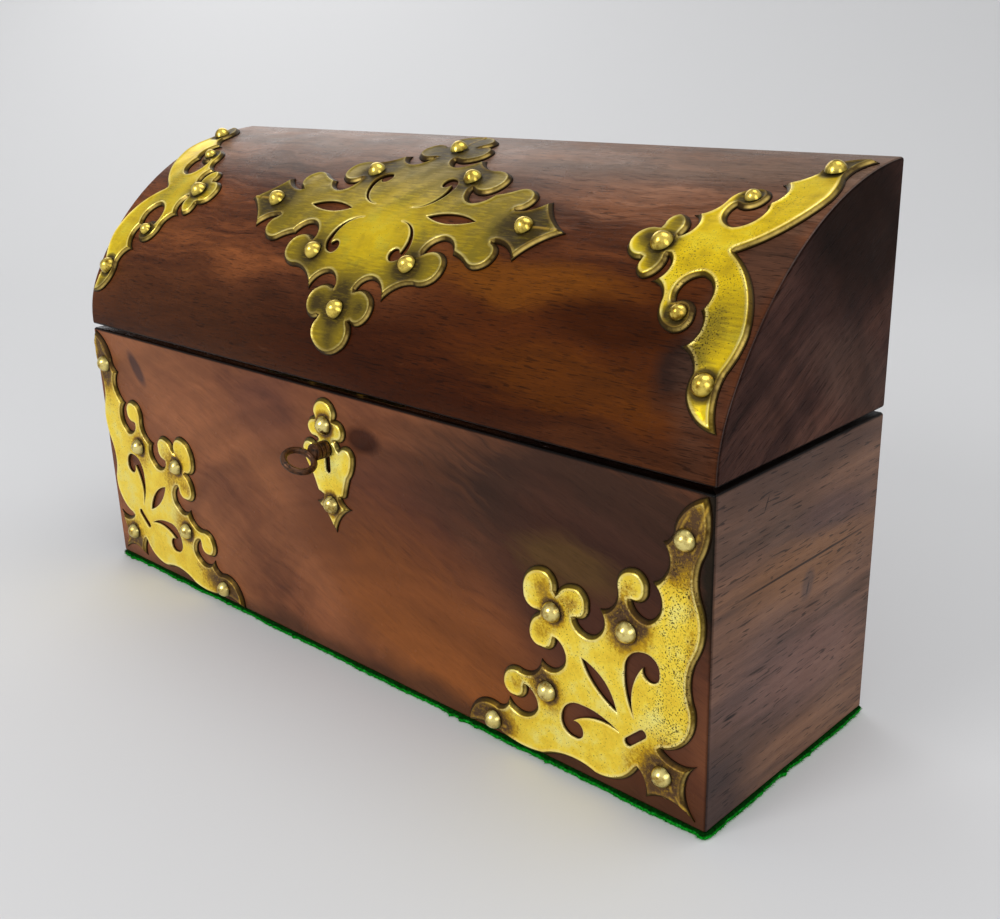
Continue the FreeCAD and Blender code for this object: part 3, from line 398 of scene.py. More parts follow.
def rounded(points, lid, radius):
    """Points moved so that the box's outer edges and corners are round, with the surface's normals."""
    faces = outer_faces(points, lid)
    depths = np.stack([depth for depth, _ in faces], axis=1)
    normals = np.stack([normal for _, normal in faces], axis=1)
    reach = np.clip(radius - depths, 0, radius)
    size = np.linalg.norm(reach, axis=1)
    largest = reach.max(axis=1)
    scale = np.where(size > 0, largest / np.maximum(size, 1e-9), 1)
    pulled = reach * scale[:, None]
    moved = points - (normals * (reach - pulled)[:, :, None]).sum(axis=1)
    direction = (normals * pulled[:, :, None]).sum(axis=1)
    lengths = np.linalg.norm(direction, axis=1)
    on_surface = depths.min(axis=1) < ON_FACE
    direction = direction / np.maximum(lengths, 1e-9)[:, None]
    direction[~on_surface] = 0
    return moved, direction


def cut_near_arrises(work, lid, radius):
    """Adds edges beside each outer arris, where the rounding bends the surface."""
    dome_end_normal = on_dome(0.0, DOME_END, 1.0) - on_dome(0.0, DOME_END, 0.0)
    planes = []
    for share in ROUND_INSETS:
        inset = radius * share
        planes += [((side * (HALF_LENGTH - inset), 0, 0), (1, 0, 0)) for side in (-1, 1)]
        planes.append(((0, HALF_DEPTH - inset, 0), (0, 1, 0)))
        if lid:
            planes.append(((0, 0, LID_FOOT + inset), (0, 0, 1)))
            planes.append((tuple(on_dome(0.0, DOME_END, -inset)), tuple(dome_end_normal)))
        else:
            planes.append(((0, -HALF_DEPTH + inset, 0), (0, 1, 0)))
            planes += [((0, 0, BASE_FOOT + inset), (0, 0, 1)), ((0, 0, BASE_TOP - inset), (0, 0, 1))]
    for place, normal in planes:
        bmesh.ops.bisect_plane(work, geom=[*work.verts, *work.edges, *work.faces], dist=1e-7,
                               plane_co=Vector(place) * MM, plane_no=Vector(normal))


def ring_the_end(work, radius):
    """Replaces the flat end face of a lid end by rings that follow the dome, for the rounding to bend."""
    flat = [face for face in work.faces
            if all(abs(abs(vert.co.x) - HALF_LENGTH * MM) < 1e-6 for vert in face.verts)]
    side = math.copysign(1, flat[0].verts[0].co.x)
    following = {}
    for edge in work.edges:
        if sum(face in flat for face in edge.link_faces) == 1:
            for vert in edge.verts:
                following.setdefault(vert, []).append(edge.other_vert(vert))
    loop = [next(iter(following))]
    while True:
        ahead = [vert for vert in following[loop[-1]] if len(loop) < 2 or vert is not loop[-2]]
        if ahead[0] is loop[0]:
            break
        loop.append(ahead[0])
    bmesh.ops.delete(work, geom=flat, context="FACES_KEEP_BOUNDARY")
    points = np.array([tuple(vert.co * 1000) for vert in loop])
    faces = outer_faces(points, True)[1:]
    inward = sum(np.where(depth < ON_FACE, 1, 0)[:, None] * normal for depth, normal in faces)
    rings = [loop]
    for share in ROUND_INSETS[::-1]:
        rings.append([work.verts.new(Vector(place) * MM) for place in points - inward * (radius * share)])
    made = join_rings(work, rings) + [work.faces.new(rings[-1])]
    made[-1].normal_update()
    if made[-1].normal.x * side < 0:
        bmesh.ops.reverse_faces(work, faces=made)
    bmesh.ops.triangulate(work, faces=[made[-1]])


def board(node, material, slot):
    """A board from its CAD node, with round outer edges and true surface normals."""
    lid = node.startswith("lid_")
    radius = sizes().arris / MM
    work = welded_copy(node)
    cut_near_arrises(work, lid, radius)
    if node in ("lid_left_end", "lid_right_end"):
        ring_the_end(work, radius)
    bmesh.ops.remove_doubles(work, verts=work.verts, dist=WELD)
    mesh = mesh_of(work, f"{node}_polished")
    points = read(mesh.vertices, "co", 3) * 1000
    moved, normals = rounded(points, lid, radius)
    mesh.vertices.foreach_set("co", (moved * MM).ravel())
    mesh.update()
    of_face = np.repeat(read(mesh.polygons, "normal", 3),
                        read(mesh.polygons, "loop_total", kind=np.int32), axis=0)
    smooth = normals[read(mesh.loops, "vertex_index", kind=np.int32)]
    close = (of_face * smooth).sum(axis=1) > 0.75
    mesh.shade_smooth()
    mesh.normals_split_custom_set(np.where(close[:, None], smooth, of_face).tolist())
    across, up, _, _ = surface_of(node)[1](moved)
    write_surface_map(mesh, np.stack([across, up], axis=1))
    faces = outer_faces(points, lid)
    write_attribute(mesh, "from_arris", np.clip(np.sort([depth for depth, _ in faces], axis=0)[1], 0, radius))
    # Painted shade blackens the slit between lid and base, widest at the front
    height = points[:, 2]
    to_slit = height - LID_FOOT if lid else BASE_TOP - height
    to_side = np.min([depth for depth, normal in faces if abs(normal[0, 2]) < 0.9], axis=0)
    wide = node in ("base_front_board", "lid_dome_board")
    reach = np.where(to_slit < 0.01, to_side * 0.3, to_slit * (1.0 if wide else 2.0))
    write_attribute(mesh, "from_slit", np.clip(reach, 0, radius))
    return finish_piece(new_object(mesh.name, mesh), body_of(node), material, slot, node)


# Brass mounts: pressed from sheet, with an outer bevel, a raised line and hollows round the studs

FIELD_LIFT = 1.2
BEVEL_STEPS = (0.0, 0.25, 0.55, 0.85, 1.1, 1.4, 1.9)
BEVEL_LIFTS = (0.3, 0.52, 0.84, 1.14, 1.27, 1.16, 1.05)
STUD_HOLLOW, HOLLOW_REACH = 0.22, 4.3
SUNK = -0.04    # the underside lies this far into the wood
OUTLINE_STEP, LINE_STEP = 0.42, 0.12    # between points of an outline, and of a line that distances run to
CLEAR, MERGED = 0.2, 0.16    # no point is nearer to an outline, or to another point
RIDGE_WIDTH, RIDGE_LIFT = 0.32, 0.16    # the raised line's
SMALLEST_CUT = 3    # in square millimetres; a smaller loop is the hole for a pin
SAME_HEIGHT = 0.02    # heights that differ by less are one


def outline_loops(node, place):
    """Closed outlines of a mount's outer face in millimetres, without the holes for pins."""
    mesh = frame["nodes"][node].data
    points = read(mesh.vertices, "co", 3) * 1000
    across, up, lift, _ = place(points)
    keys, index = np.unique(np.round(points, 3), axis=0, return_inverse=True)
    index = index.ravel()
    first = np.zeros(len(keys), dtype=int)
    first[index] = np.arange(len(points))
    high = np.abs(lift - FIELD_LIFT) < SAME_HEIGHT
    edges = {}
    for face in mesh.polygons:
        corners = [int(index[vert]) for vert in face.vertices if high[vert]]
        if len(corners) == 3 and len(set(corners)) == 3:
            for start, end in zip(corners, corners[1:] + corners[:1]):
                edges[(start, end)] = edges.get((start, end), 0) + 1
    following = {start: end for (start, end) in edges if (end, start) not in edges}
    loops = []
    while following:
        start = next(iter(following))
        loop, here = [start], following.pop(start)
        while here != start:
            loop.append(here)
            here = following.pop(here)
        picked = first[loop]
        loops.append(np.stack([across[picked], up[picked]], axis=1))
    return [loop for loop in loops if abs(signed_area(loop)) > SMALLEST_CUT]


def signed_area(loop):
    ahead = np.roll(loop, -1, axis=0)
    return 0.5 * float((loop[:, 0] * ahead[:, 1] - loop[:, 1] * ahead[:, 0]).sum())


def resampled(loop, step):
    """The loop with points added so that none are further apart than the step."""
    out = []
    for start, end in zip(loop, np.roll(loop, -1, axis=0)):
        parts = max(1, math.ceil(np.linalg.norm(end - start) / step))
        out += [start + (end - start) * part / parts for part in range(parts)]
    return np.array(out)


def closest(points, targets):
    """The closest target to each point."""
    tree = KDTree(len(targets))
    for index, (x, y) in enumerate(targets):
        tree.insert((x, y, 0), index)
    tree.balance()
    return [tree.find((x, y, 0)) for x, y in points]


def nearest(points, targets):
    """Distance from each point to the closest target."""
    return np.array([gap for _, _, gap in closest(points, targets)])


def facing(points, targets, heading):
    """How far the way from each point to the closest target runs in the heading, from -1 to 1."""
    way = np.array([place[:2] for place, _, _ in closest(points, targets)]) - points
    return way @ np.array(heading) / np.maximum(np.linalg.norm(way, axis=1), 0.02)


def inside(points, loops):
    """Whether each point lies in the sheet, by counting the outlines crossed."""
    odd = np.zeros(len(points), dtype=bool)
    for loop in loops:
        for (x0, y0), (x1, y1) in zip(loop, np.roll(loop, -1, axis=0)):
            if y0 == y1:
                continue
            spans = (points[:, 1] >= min(y0, y1)) & (points[:, 1] < max(y0, y1))
            meets = x0 + (points[:, 1] - y0) * (x1 - x0) / (y1 - y0)
            odd ^= spans & (points[:, 0] < meets)
    return odd


def inner_line(loop, distance):
    """The loop moved towards its left-hand side, which is inside the sheet."""
    ahead, behind = np.roll(loop, -1, axis=0), np.roll(loop, 1, axis=0)
    along = ahead - behind
    left = np.stack([-along[:, 1], along[:, 0]], axis=1)
    return loop + left / np.maximum(np.linalg.norm(left, axis=1), 1e-9)[:, None] * distance


def spots_at(across, up, spots):
    """Sum of soft spots (across, up, reach across, reach up, strength), at most 1."""
    total = np.zeros(len(across))
    for x, y, reach_x, reach_y, strength in spots:
        total += strength * np.exp(-((across - x) / reach_x) ** 2 - ((up - y) / reach_y) ** 2)
    return np.clip(total, 0, 1)


def triangles_in(points, edges, loops):
    """Triangles that fill the outlines: the places of their corners, the faces and the corners' sources."""
    flat, _, faces, sources, _, _ = delaunay_2d_cdt([Vector(point) for point in points], edges, [], 0, 1e-7, True)
    flat = np.array([tuple(point) for point in flat])
    faces = np.array([face for face in faces if len(face) == 3])
    return flat, faces[inside(flat[faces].mean(axis=1), loops)], sources


def mount(node, stud_points, patina, pitted, ridges, material):
    """A closed shell of worked brass over the mount's outline."""
    surface, place = surface_of(node)
    loops = [resampled(loop, OUTLINE_STEP) for loop in outline_loops(node, place)]
    loops.sort(key=lambda loop: -abs(signed_area(loop)))
    if signed_area(loops[0]) < 0:
        loops = [loop[::-1] for loop in loops]
    outer, cuts = loops[0], loops[1:]
    outer_line = resampled(outer, LINE_STEP)
    cut_line = np.concatenate([resampled(loop, LINE_STEP) for loop in cuts]) if cuts else np.full((1, 2), 1e3)
    fill = []
    for lines, course, steps in ([outer], outer_line, BEVEL_STEPS[1:]), (cuts, cut_line, (0.3, 0.7)):
        for loop in lines:
            for distance in steps:
                ring = inner_line(loop, distance)
                fill.append(ring[nearest(ring, course) > distance - 0.04])
    step = sizes().mount_step / MM
    low, high = outer.min(axis=0), outer.max(axis=0)
    grid = np.array([(x + (row % 2) * step / 2, y)
                     for row, y in enumerate(np.arange(low[1], high[1], step * 0.866))
                     for x in np.arange(low[0], high[0], step)])
    fill = np.concatenate(fill + [grid[(nearest(grid, outer_line) > 2.2) & (nearest(grid, cut_line) > 1.0)]])
    clear = (nearest(fill, outer_line) > CLEAR) & (nearest(fill, cut_line) > CLEAR)
    fill = fill[clear & inside(fill, loops)]
    fill = fill[np.sort(np.unique(np.round(fill / MERGED), axis=0, return_index=True)[1])]
    rim = np.concatenate(loops)
    edges, start = [], 0
    for loop in loops:
        edges += [(start + index, start + (index + 1) % len(loop)) for index in range(len(loop))]
        start += len(loop)
    flat, faces, sources = triangles_in(np.concatenate([rim, fill]), edges, loops)
    low_flat, low_faces, _ = triangles_in(rim, edges, loops)
    across, up = flat.T
    from_edge, from_cut = nearest(flat, outer_line), nearest(flat, cut_line)
    from_stud = nearest(flat, np.array(stud_points))
    lift = np.interp(from_edge, BEVEL_STEPS, BEVEL_LIFTS)
    lift += np.interp(from_cut, (0, 0.3, 0.7), (-0.14, 0.04, 0))
    lift -= STUD_HOLLOW * np.clip(1 - (from_stud / HOLLOW_REACH) ** 2, 0, 1) * np.clip(from_edge / 1.6, 0, 1)
    rolling = (np.sin(across / 3.1 + up / 5.3) * np.cos(up / 3.7 - across / 6.1)
               + 0.6 * np.sin(across / 1.7 - up / 2.3))
    lift += sizes().mount_wave / MM * rolling * np.clip(from_edge / 2, 0, 1)
    ridge = np.zeros(len(flat))
    for line in ridges:
        gap = nearest(flat, resampled(np.array(line + line[::-1], dtype=float), 0.2))
        ridge = np.maximum(ridge, np.exp(-(gap / 0.3) ** 2))
        # The line stands up between two shallow grooves
        lift += RIDGE_LIFT * (np.exp(-(gap / RIDGE_WIDTH) ** 2) - 0.5 * np.exp(-((gap - 0.75) / 0.35) ** 2))
    top = surface(across, up, lift)
    bottom = surface(*low_flat.T, np.full(len(low_flat), SUNK))
    corner_of = {}
    for corner, found in enumerate(sources):
        for source in found:
            corner_of.setdefault(source, corner)
    shift = len(top)
    walls = [(corner_of[first], shift + first, shift + second, corner_of[second]) for first, second in edges]
    mesh = bpy.data.meshes.new(node.replace("_mount", "_brass").replace("_plate", "_brass"))
    mesh.from_pydata((np.concatenate([top, bottom]) * MM).tolist(), [],
                     [tuple(face) for face in faces] + [tuple(face[::-1] + shift) for face in low_faces] + walls)
    work = bmesh.new()
    work.from_mesh(mesh)
    bmesh.ops.recalc_face_normals(work, faces=work.faces)
    work.to_mesh(mesh)
    work.free()
    shade(mesh, 38)
    for name, values, below in (
            ("from_edge", from_edge, 0), ("from_cut", from_cut, -1), ("from_stud", from_stud, 9),
            ("patina", spots_at(across, up, patina), 1), ("pitted", spots_at(across, up, pitted), 0),
            ("ridge", ridge, 0), ("lit_edge", facing(flat, outer_line, (0.8, -0.6)), 0)):
        write_attribute(mesh, name, np.append(values, np.full(len(bottom), below)))
    write_surface_map(mesh, np.concatenate([flat, low_flat]))
    return finish_piece(new_object(mesh.name, mesh), body_of(node), material, "gilt_brass", node)


# Studs: one pattern repeated by Geometry Nodes

def node_group(name, inputs):
    """A Geometry Nodes tree with the given inputs, a function that adds its nodes, and the inputs' sockets."""
    tree = bpy.data.node_groups.new(name, "GeometryNodeTree")
    tree.interface.new_socket("Geometry", in_out="OUTPUT", socket_type="NodeSocketGeometry")
    for label, kind, value in inputs:
        socket = tree.interface.new_socket(label, in_out="INPUT", socket_type=f"NodeSocket{kind}")
        if value is not None:
            socket.default_value = value
    node = partial(add, tree)
    return tree, node, node("NodeGroupInput", take=None).outputs


def finish_group(node, placed, material):
    real = node("RealizeInstances", placed)
    node("NodeGroupOutput", node("SetMaterial", {"Geometry": real, "Material": material}))


def scatter_tree(name, material):
    """Puts a pattern object on every point of a mesh, turned to the point's own axis and spun about it."""
    tree, node, given = node_group(name, (
        ("Points", "Geometry", None), ("Pattern", "Object", None), ("Smallest", "Float", 0.95),
        ("Largest", "Float", 1.05), ("Seed", "Int", 7)))
    pattern = node("ObjectInfo", given["Pattern"], take="Geometry")
    axis = node("InputNamedAttribute:FLOAT_VECTOR", "axis")
    upright = node("FunctionNodeAlignRotationToVector", {"Vector": axis}, axis="Z")
    spin = node("FunctionNodeRandomValue:FLOAT", 0.0, math.tau, None, given["Seed"])
    spun = node("FunctionNodeAxisAngleToRotation", (0, 0, 1), spin)
    turned = node("FunctionNodeRotateRotation", upright, spun, rotation_space="LOCAL")
    size = node("FunctionNodeRandomValue:FLOAT", given["Smallest"], given["Largest"], None, given["Seed"])
    size = node("ShaderNodeMath:MULTIPLY", size, node("InputNamedAttribute:FLOAT", "size"))
    finish_group(node, node("InstanceOnPoints", {"Points": given["Points"], "Instance": pattern,
                                                 "Rotation": turned, "Scale": size}), material)
    return tree


def evaluated(name, mesh, tree, values):
    """The mesh that a node tree makes of another mesh, as a plain object with the tree gone."""
    holder = new_object(name, mesh)
    modifier = holder.modifiers.new("nodes", "NODES")
    modifier.node_group = tree
    for item in tree.interface.items_tree:
        if item.in_out == "INPUT" and item.name in values:
            modifier[item.identifier] = values[item.name]
    holder.update_tag()
    bpy.context.view_layer.update()
    graph = bpy.context.evaluated_depsgraph_get()
    made = bpy.data.meshes.new_from_object(holder.evaluated_get(graph), depsgraph=graph)
    bpy.data.objects.remove(holder)
    made.name = name
    if not made.polygons:
        raise RuntimeError(f"{name} came out empty")
    return new_object(name, made)


def turned_pattern(name, section, sides):
    """A pattern mesh: a section (radius, height) in millimetres turned about Z."""
    work = bmesh.new()
    verts = [work.verts.new((radius * MM, 0, height * MM)) for radius, height in section]
    edges = [work.edges.new(pair) for pair in zip(verts, verts[1:])]
    bmesh.ops.spin(work, geom=verts + edges, cent=(0, 0, 0), axis=(0, 0, 1), angle=math.tau, steps=sides)
    bmesh.ops.remove_doubles(work, verts=work.verts, dist=WELD)
    bmesh.ops.recalc_face_normals(work, faces=work.faces)
    mesh = mesh_of(work, name)
    top = max(height for _, height in section) * MM
    write_attribute(mesh, "rise", [max(0.0, vert.co.z / top) for vert in mesh.vertices])
    return mesh


def scattered(node, pattern, seats, own_sizes, material):
    """The studs of one mount: the pattern on each seat, along its axis and at its own size."""
    places, axes, _ = zip(*seats)
    points = bpy.data.meshes.new(f"{node}_places")
    points.from_pydata((np.array(places) * MM).tolist(), [], [])
    write_attribute(points, "size", own_sizes)
    layer = points.attributes.new("axis", "FLOAT_VECTOR", "POINT")
    layer.data.foreach_set("vector", np.array(axes, dtype=np.float32).ravel())
    holder = new_object(pattern.name, pattern)
    spread = sizes().stud_spread
    made = evaluated(f"{node}_domed", points, scatter_tree(f"{node}_tree", material),
                     {"Pattern": holder, "Smallest": 1 - spread, "Largest": 1 + spread, "Seed": len(node)})
    bpy.data.objects.remove(holder)
    shade(made.data, 40)
    return finish_piece(made, body_of(node), material, "stud_brass", node)


# Materials

def walnut(name, order, ramp, patches=(), marks_and_painted_shade=(), rings=None, turn=0.0, wander=1.0, figured=(80, 15),
           streaky=0.35, contrast=1.0, pores=1.0, dashes=0.0, roughness=0.5, level=0.3, edge_level=None,
           dark_arrises_and_slit_shade=False, seed=0.0):
    """Polished walnut: drifting figure, growth rings, streaks, fine fibres and short dark pores."""
    material, node, link = new_material(name, Specular_IOR_Level=level)
    place = place_in(node, order)
    drift = node("VectorMath:MULTIPLY_ADD", place, per(34, 20, 20), (seed, 0, 0))
    drift = node("VectorMath:SUBTRACT", node("TexNoise", drift, 1, 3, take="Color"), (0.5, 0.5, 0.5))
    drift = node("VectorMath:MULTIPLY", drift, (8 * wander, 15 * wander, 8 * wander))
    wandering = node("VectorMath:ADD", place, drift)
    grain_place, bent = (node("VectorRotate", {"Vector": source, "Angle": turn}, rotation_type="Z_AXIS")
                         for source in (place, wandering))
    figure = node("VectorMath:MULTIPLY_ADD", bent, per(figured[0], figured[1], figured[1]), (0, seed, 0))
    figure = node("TexNoise", figure, 1, 4, 0.55)
    streaks = noise(node, bent, (34, 1.9, 1.9), 5, 0.62)
    mixed = node("MapRange", figure, 0, 1, 0.175 - streaky / 2, 1.175 - streaky / 2)
    mixed = node("Math:MULTIPLY_ADD", streaks, streaky, mixed)
    tint = node("ValToRGB", mixed, stops=ramp)
    for centre, reach, angle, strength, code in patches:
        # Streaks of the grain break up the edge of each patch
        mask = node("Math:MULTIPLY_ADD", streaks, 0.5, soft_patch(node, wandering, centre, reach, angle))
        tint = node("Mix:RGBA", node("MapRange", mask, 0.34, 0.85, 0, strength), tint, code)
    near = node("VectorMath:MULTIPLY_ADD", drift, (0.1, 0.1, 0.1), place)
    # Cracks and knots, and painted reflection and shadow where they are given among the marks
    for centre, reach, angle, strength, code in marks_and_painted_shade:
        mask = soft_patch(node, near, centre, reach, angle)
        tint = node("Mix:RGBA", node("MapRange", mask, 0.05, 0.45, 0, strength), tint, code)
    fibres = noise(node, grain_place, (7, 0.3, 0.3), 3)
    shades = [node("MapRange", streaks, 0.3, 0.7, 1 - 0.26 * contrast, 1 + 0.2 * contrast),
              node("MapRange", fibres, 0.3, 0.7, 1 - 0.16 * contrast, 1 + 0.12 * contrast)]
    if rings:
        centre, spans, depth = rings
        away = node("VectorMath:SUBTRACT", wandering, (*centre, 0))
        away = node("VectorMath:MULTIPLY", away, (1 / spans[0], 1 / spans[1], 0))
        ring = node("TexNoise", node("VectorMath:LENGTH", away), 1, 3, 0.55, noise_dimensions="1D")
        shades.append(node("MapRange", ring, 0.32, 0.68, 1 - depth, 1 + depth))
    found = []
    for spans, low, high in ((3.4, 0.2, 0.2), 0.61, 0.68), ((5.5, 0.45, 0.45), 0.66, 0.71):
        pore = node("VectorMath:MULTIPLY_ADD", grain_place, per(*spans), (3, 5, 7))
        found.append(node("MapRange", node("TexNoise", pore, 1, 1), low, high, 0, pores))
    pore = node("Math:MAXIMUM", *found)
    shades.append(node("MapRange", pore, 0, 1, 1, 0.5))
    if dashes:
        # Open pores, black with old polish, lie in clusters
        dash = node("VectorMath:MULTIPLY_ADD", grain_place, per(5, 0.5, 0.5), (9, 1, 4))
        cluster = node("VectorMath:MULTIPLY_ADD", place, per(16, 7, 7), (seed, 2, 0))
        dash = node("Math:MULTIPLY_ADD", node("TexNoise", cluster, 1), 0.35, node("TexNoise", dash, 1, 0.5))
        shades.append(node("MapRange", dash, 0.845, 0.88, 1, 1 - dashes))
    if dark_arrises_and_slit_shade:
        arris, slit = (node("Attribute", take="Fac", attribute_name=label)
                       for label in ("from_arris", "from_slit"))
        if edge_level:
            # Hands keep the arrises polished
            link("Specular IOR Level", node("MapRange", arris, 0.1, 0.5, edge_level, level))
        # Darker along the rounded arrises, and painted shade black in the slit between lid and base
        shades += [node("MapRange", arris, 0.2, 0.8, 0.4, 1), node("MapRange", slit, 0.3, 0.8, 0.06, 1)]
    for shade in shades:
        tint = node("VectorMath:SCALE", tint, shade)
    link("Base Color", tint)
    gloss = noise(node, place, (13, 13, 13), 3)
    link("Roughness", node("MapRange", gloss, 0.3, 0.7, roughness - 0.05, roughness + 0.08))
    relief = node("Math:SUBTRACT", fibres, pore)
    link("Normal", node("Bump", {"Height": relief, "Strength": 0.2, "Distance": 0.0002}))
    return material


def board_materials():
    """One finish for each board, as each has its own figure."""
    tints = colours()
    front = ((0.45, tints.walnut_dark), (0.62, tints.walnut_red), (0.86, tints.walnut_flame))
    dome = ((0.45, "#3a1c0c"), (0.62, tints.walnut_dome), (0.86, "#7c4624"))
    ends = ((0.45, "#4e3a30"), (0.64, tints.walnut_end), (0.84, "#7c5a46"))
    lid_ends = ((0.45, "#1e1410"), (0.64, tints.walnut_lid_end), (0.86, "#52362c"))
    hidden = ((0.45, "#3a2012"), (0.64, "#5c3622"), (0.86, "#7c5034"))
    rack = ((0.45, "#4a2c18"), (0.64, tints.rack_wood), (0.86, "#8b6240"))
    flame = (
        ((16, 46), (50, 30), 0, 0.85, "#542e20"),
        ((88, 66), (84, 34), 0.05, 1.0, "#39241a"),
        ((74, 48), (22, 34), 0, 0.8, "#45281c"),
        ((34, 24), (64, 34), 0.35, 0.9, "#72401e"),
        ((34, 14), (46, 14), 0.25, 0.75, "#824a22"),
        ((98, 32), (36, 46), 0, 0.75, "#46281e"),
        ((82, 54), (24, 10), 0.15, 0.6, "#5a431f"),
        ((96, 4), (50, 14), 0, 0.7, "#54301c"),
        ((0, 0), (240, 10), 0, 0.75, "#3e2618"),
        ((-30, 70), (26, 16), -0.3, 0.5, "#5a3428"),
        ((119.5, 68), (4.5, 34), 0, 1.0, "#20180f"),
    )
    # A dark knot, and a painted reflection and shadow of the key's bow to the right of the escutcheon
    knot_and_key_reflection = (((-96, 70.5), (8, 3.2), 0.9, 0.75, "#38282a"), ((13, 69.3), (8.5, 4.4), 0.0, 0.85, "#2e140c"))
    dome_patches = (
        ((-60, 6), (110, 26), 0, 0.9, "#40200c"),
        ((30, 10), (90, 22), 0, 1.0, "#381604"),
        ((80, 26), (84, 26), 0.03, 1.0, "#4c2206"),
        ((56, 36), (44, 9), 0.03, 0.85, "#6e3c0a"),
        ((86, 28), (26, 7), 0.0, 0.95, "#361400"),
        ((80, 14), (44, 10), 0.05, 0.9, "#562a04"),
        ((107, 23), (8, 13), 0.3, 0.9, "#281812"),
        ((104, 2), (50, 7), 0, 0.7, "#40200c"),
        ((113, 48), (10, 60), 0, 0.8, "#4a3226"),
        # Painted sheen: paler, greyer wood over the top of the dome, standing in for its reflection
        ((0, 96), (330, 48), 0, 0.52, "#86705f"),
    )
    end_patches = (((2, 53), (44, 9), 0.06, 0.6, "#805838"), ((-12, 30), (40, 18), 0.1, 0.35, "#5c484a"),
                   ((8, 26), (34, 14), 0, 0.6, "#7a5a50"), ((14, 62), (24, 6), 0.1, 0.5, "#4e3a3a"),
                   ((0, 78), (60, 8), 0, 0.8, "#46322a"), ((-36, 8), (26, 22), 0.3, 0.8, "#382c2c"))
    cracks = (((0.5, 53.5), (38, 0.4), 0.012, 0.9, "#22140e"), ((3.5, 47.5), (3.4, 5.0), 0.3, 0.5, "#40383a"),
              ((3.5, 46.5), (0.5, 2.2), 0.3, 0.7, "#2a2022"),
              ((6, 41.5), (4.5, 0.4), 0.05, 0.8, "#2a1a14"), ((-17, 34), (5, 0.4), 0.05, 0.8, "#2a1a14"),
              ((-27, 27), (3.5, 0.5), 0.05, 0.9, "#1c120e"), ((-16, 73), (2.4, 0.4), -1.1, 0.8, "#2a1a14"))
    return {
        # French-polished walnut, glossy, with a flame figure that glows orange in the middle
        "base_front_board": walnut("french_polished_flame_walnut", "xzy", front, flame, marks_and_painted_shade=knot_and_key_reflection,
                                   rings=((40, 6), (34, 17), 0.22), turn=0.35, figured=(50, 22), streaky=0.16,
                                   contrast=0.32, pores=0.4, roughness=0.22, level=0.08, dark_arrises_and_slit_shade=True, seed=2.0),
        # The same timber bent over the dome, nearly black in bands and orange where light gets into it, with a
        # painted sheen along its top
        "lid_dome_board": walnut("french_polished_dome_walnut", "surface", dome, dome_patches,
                                 rings=((-150, 30), (70, 14), 0.16), contrast=0.85, dashes=0.45, roughness=0.28,
                                 level=0.05, edge_level=0.35, dark_arrises_and_slit_shade=True, seed=7.3),
        # Worn polish on the ends, dull brown and full of short dark pores
        "base_end": walnut("worn_polished_end_walnut", "yzx", ends, end_patches, cracks, wander=0.22,
                           figured=(70, 9), contrast=0.55, pores=0.45, dashes=0.65, roughness=0.45, level=0.12,
                           dark_arrises_and_slit_shade=True, seed=4.1),
        # Darker end of the lid, with its grain curving up to the back
        "lid_end": walnut("dark_polished_lid_end_walnut", "yzx", lid_ends, (
            ((18, 126), (40, 24), 0.4, 0.95, "#1c0e08"), ((20, 92), (34, 12), 0.5, 0.6, "#4c3830")),
            rings=((-60, 60), (16, 16), 0.25), turn=-0.5, wander=0.5, contrast=0.5, dashes=0.5, roughness=0.4,
            level=0.02, dark_arrises_and_slit_shade=True, seed=9.4),
        # Back boards and bottom, plainer and less polished
        "back": walnut("polished_back_walnut", "xzy", hidden, rings=((-40, -60), (90, 12), 0.15),
                       roughness=0.42, dark_arrises_and_slit_shade=True, seed=5.5),
        "bottom": walnut("waxed_bottom_walnut", "xyz", hidden, roughness=0.55, level=0.2, seed=6.5),
        # Waxed walnut of the letter rack, thin boards cut along the grain
        "divider": walnut("waxed_rack_walnut", "xzy", rack, seed=3.2),
        "cheek": walnut("waxed_cheek_walnut", "zyx", rack, seed=3.9),
    }


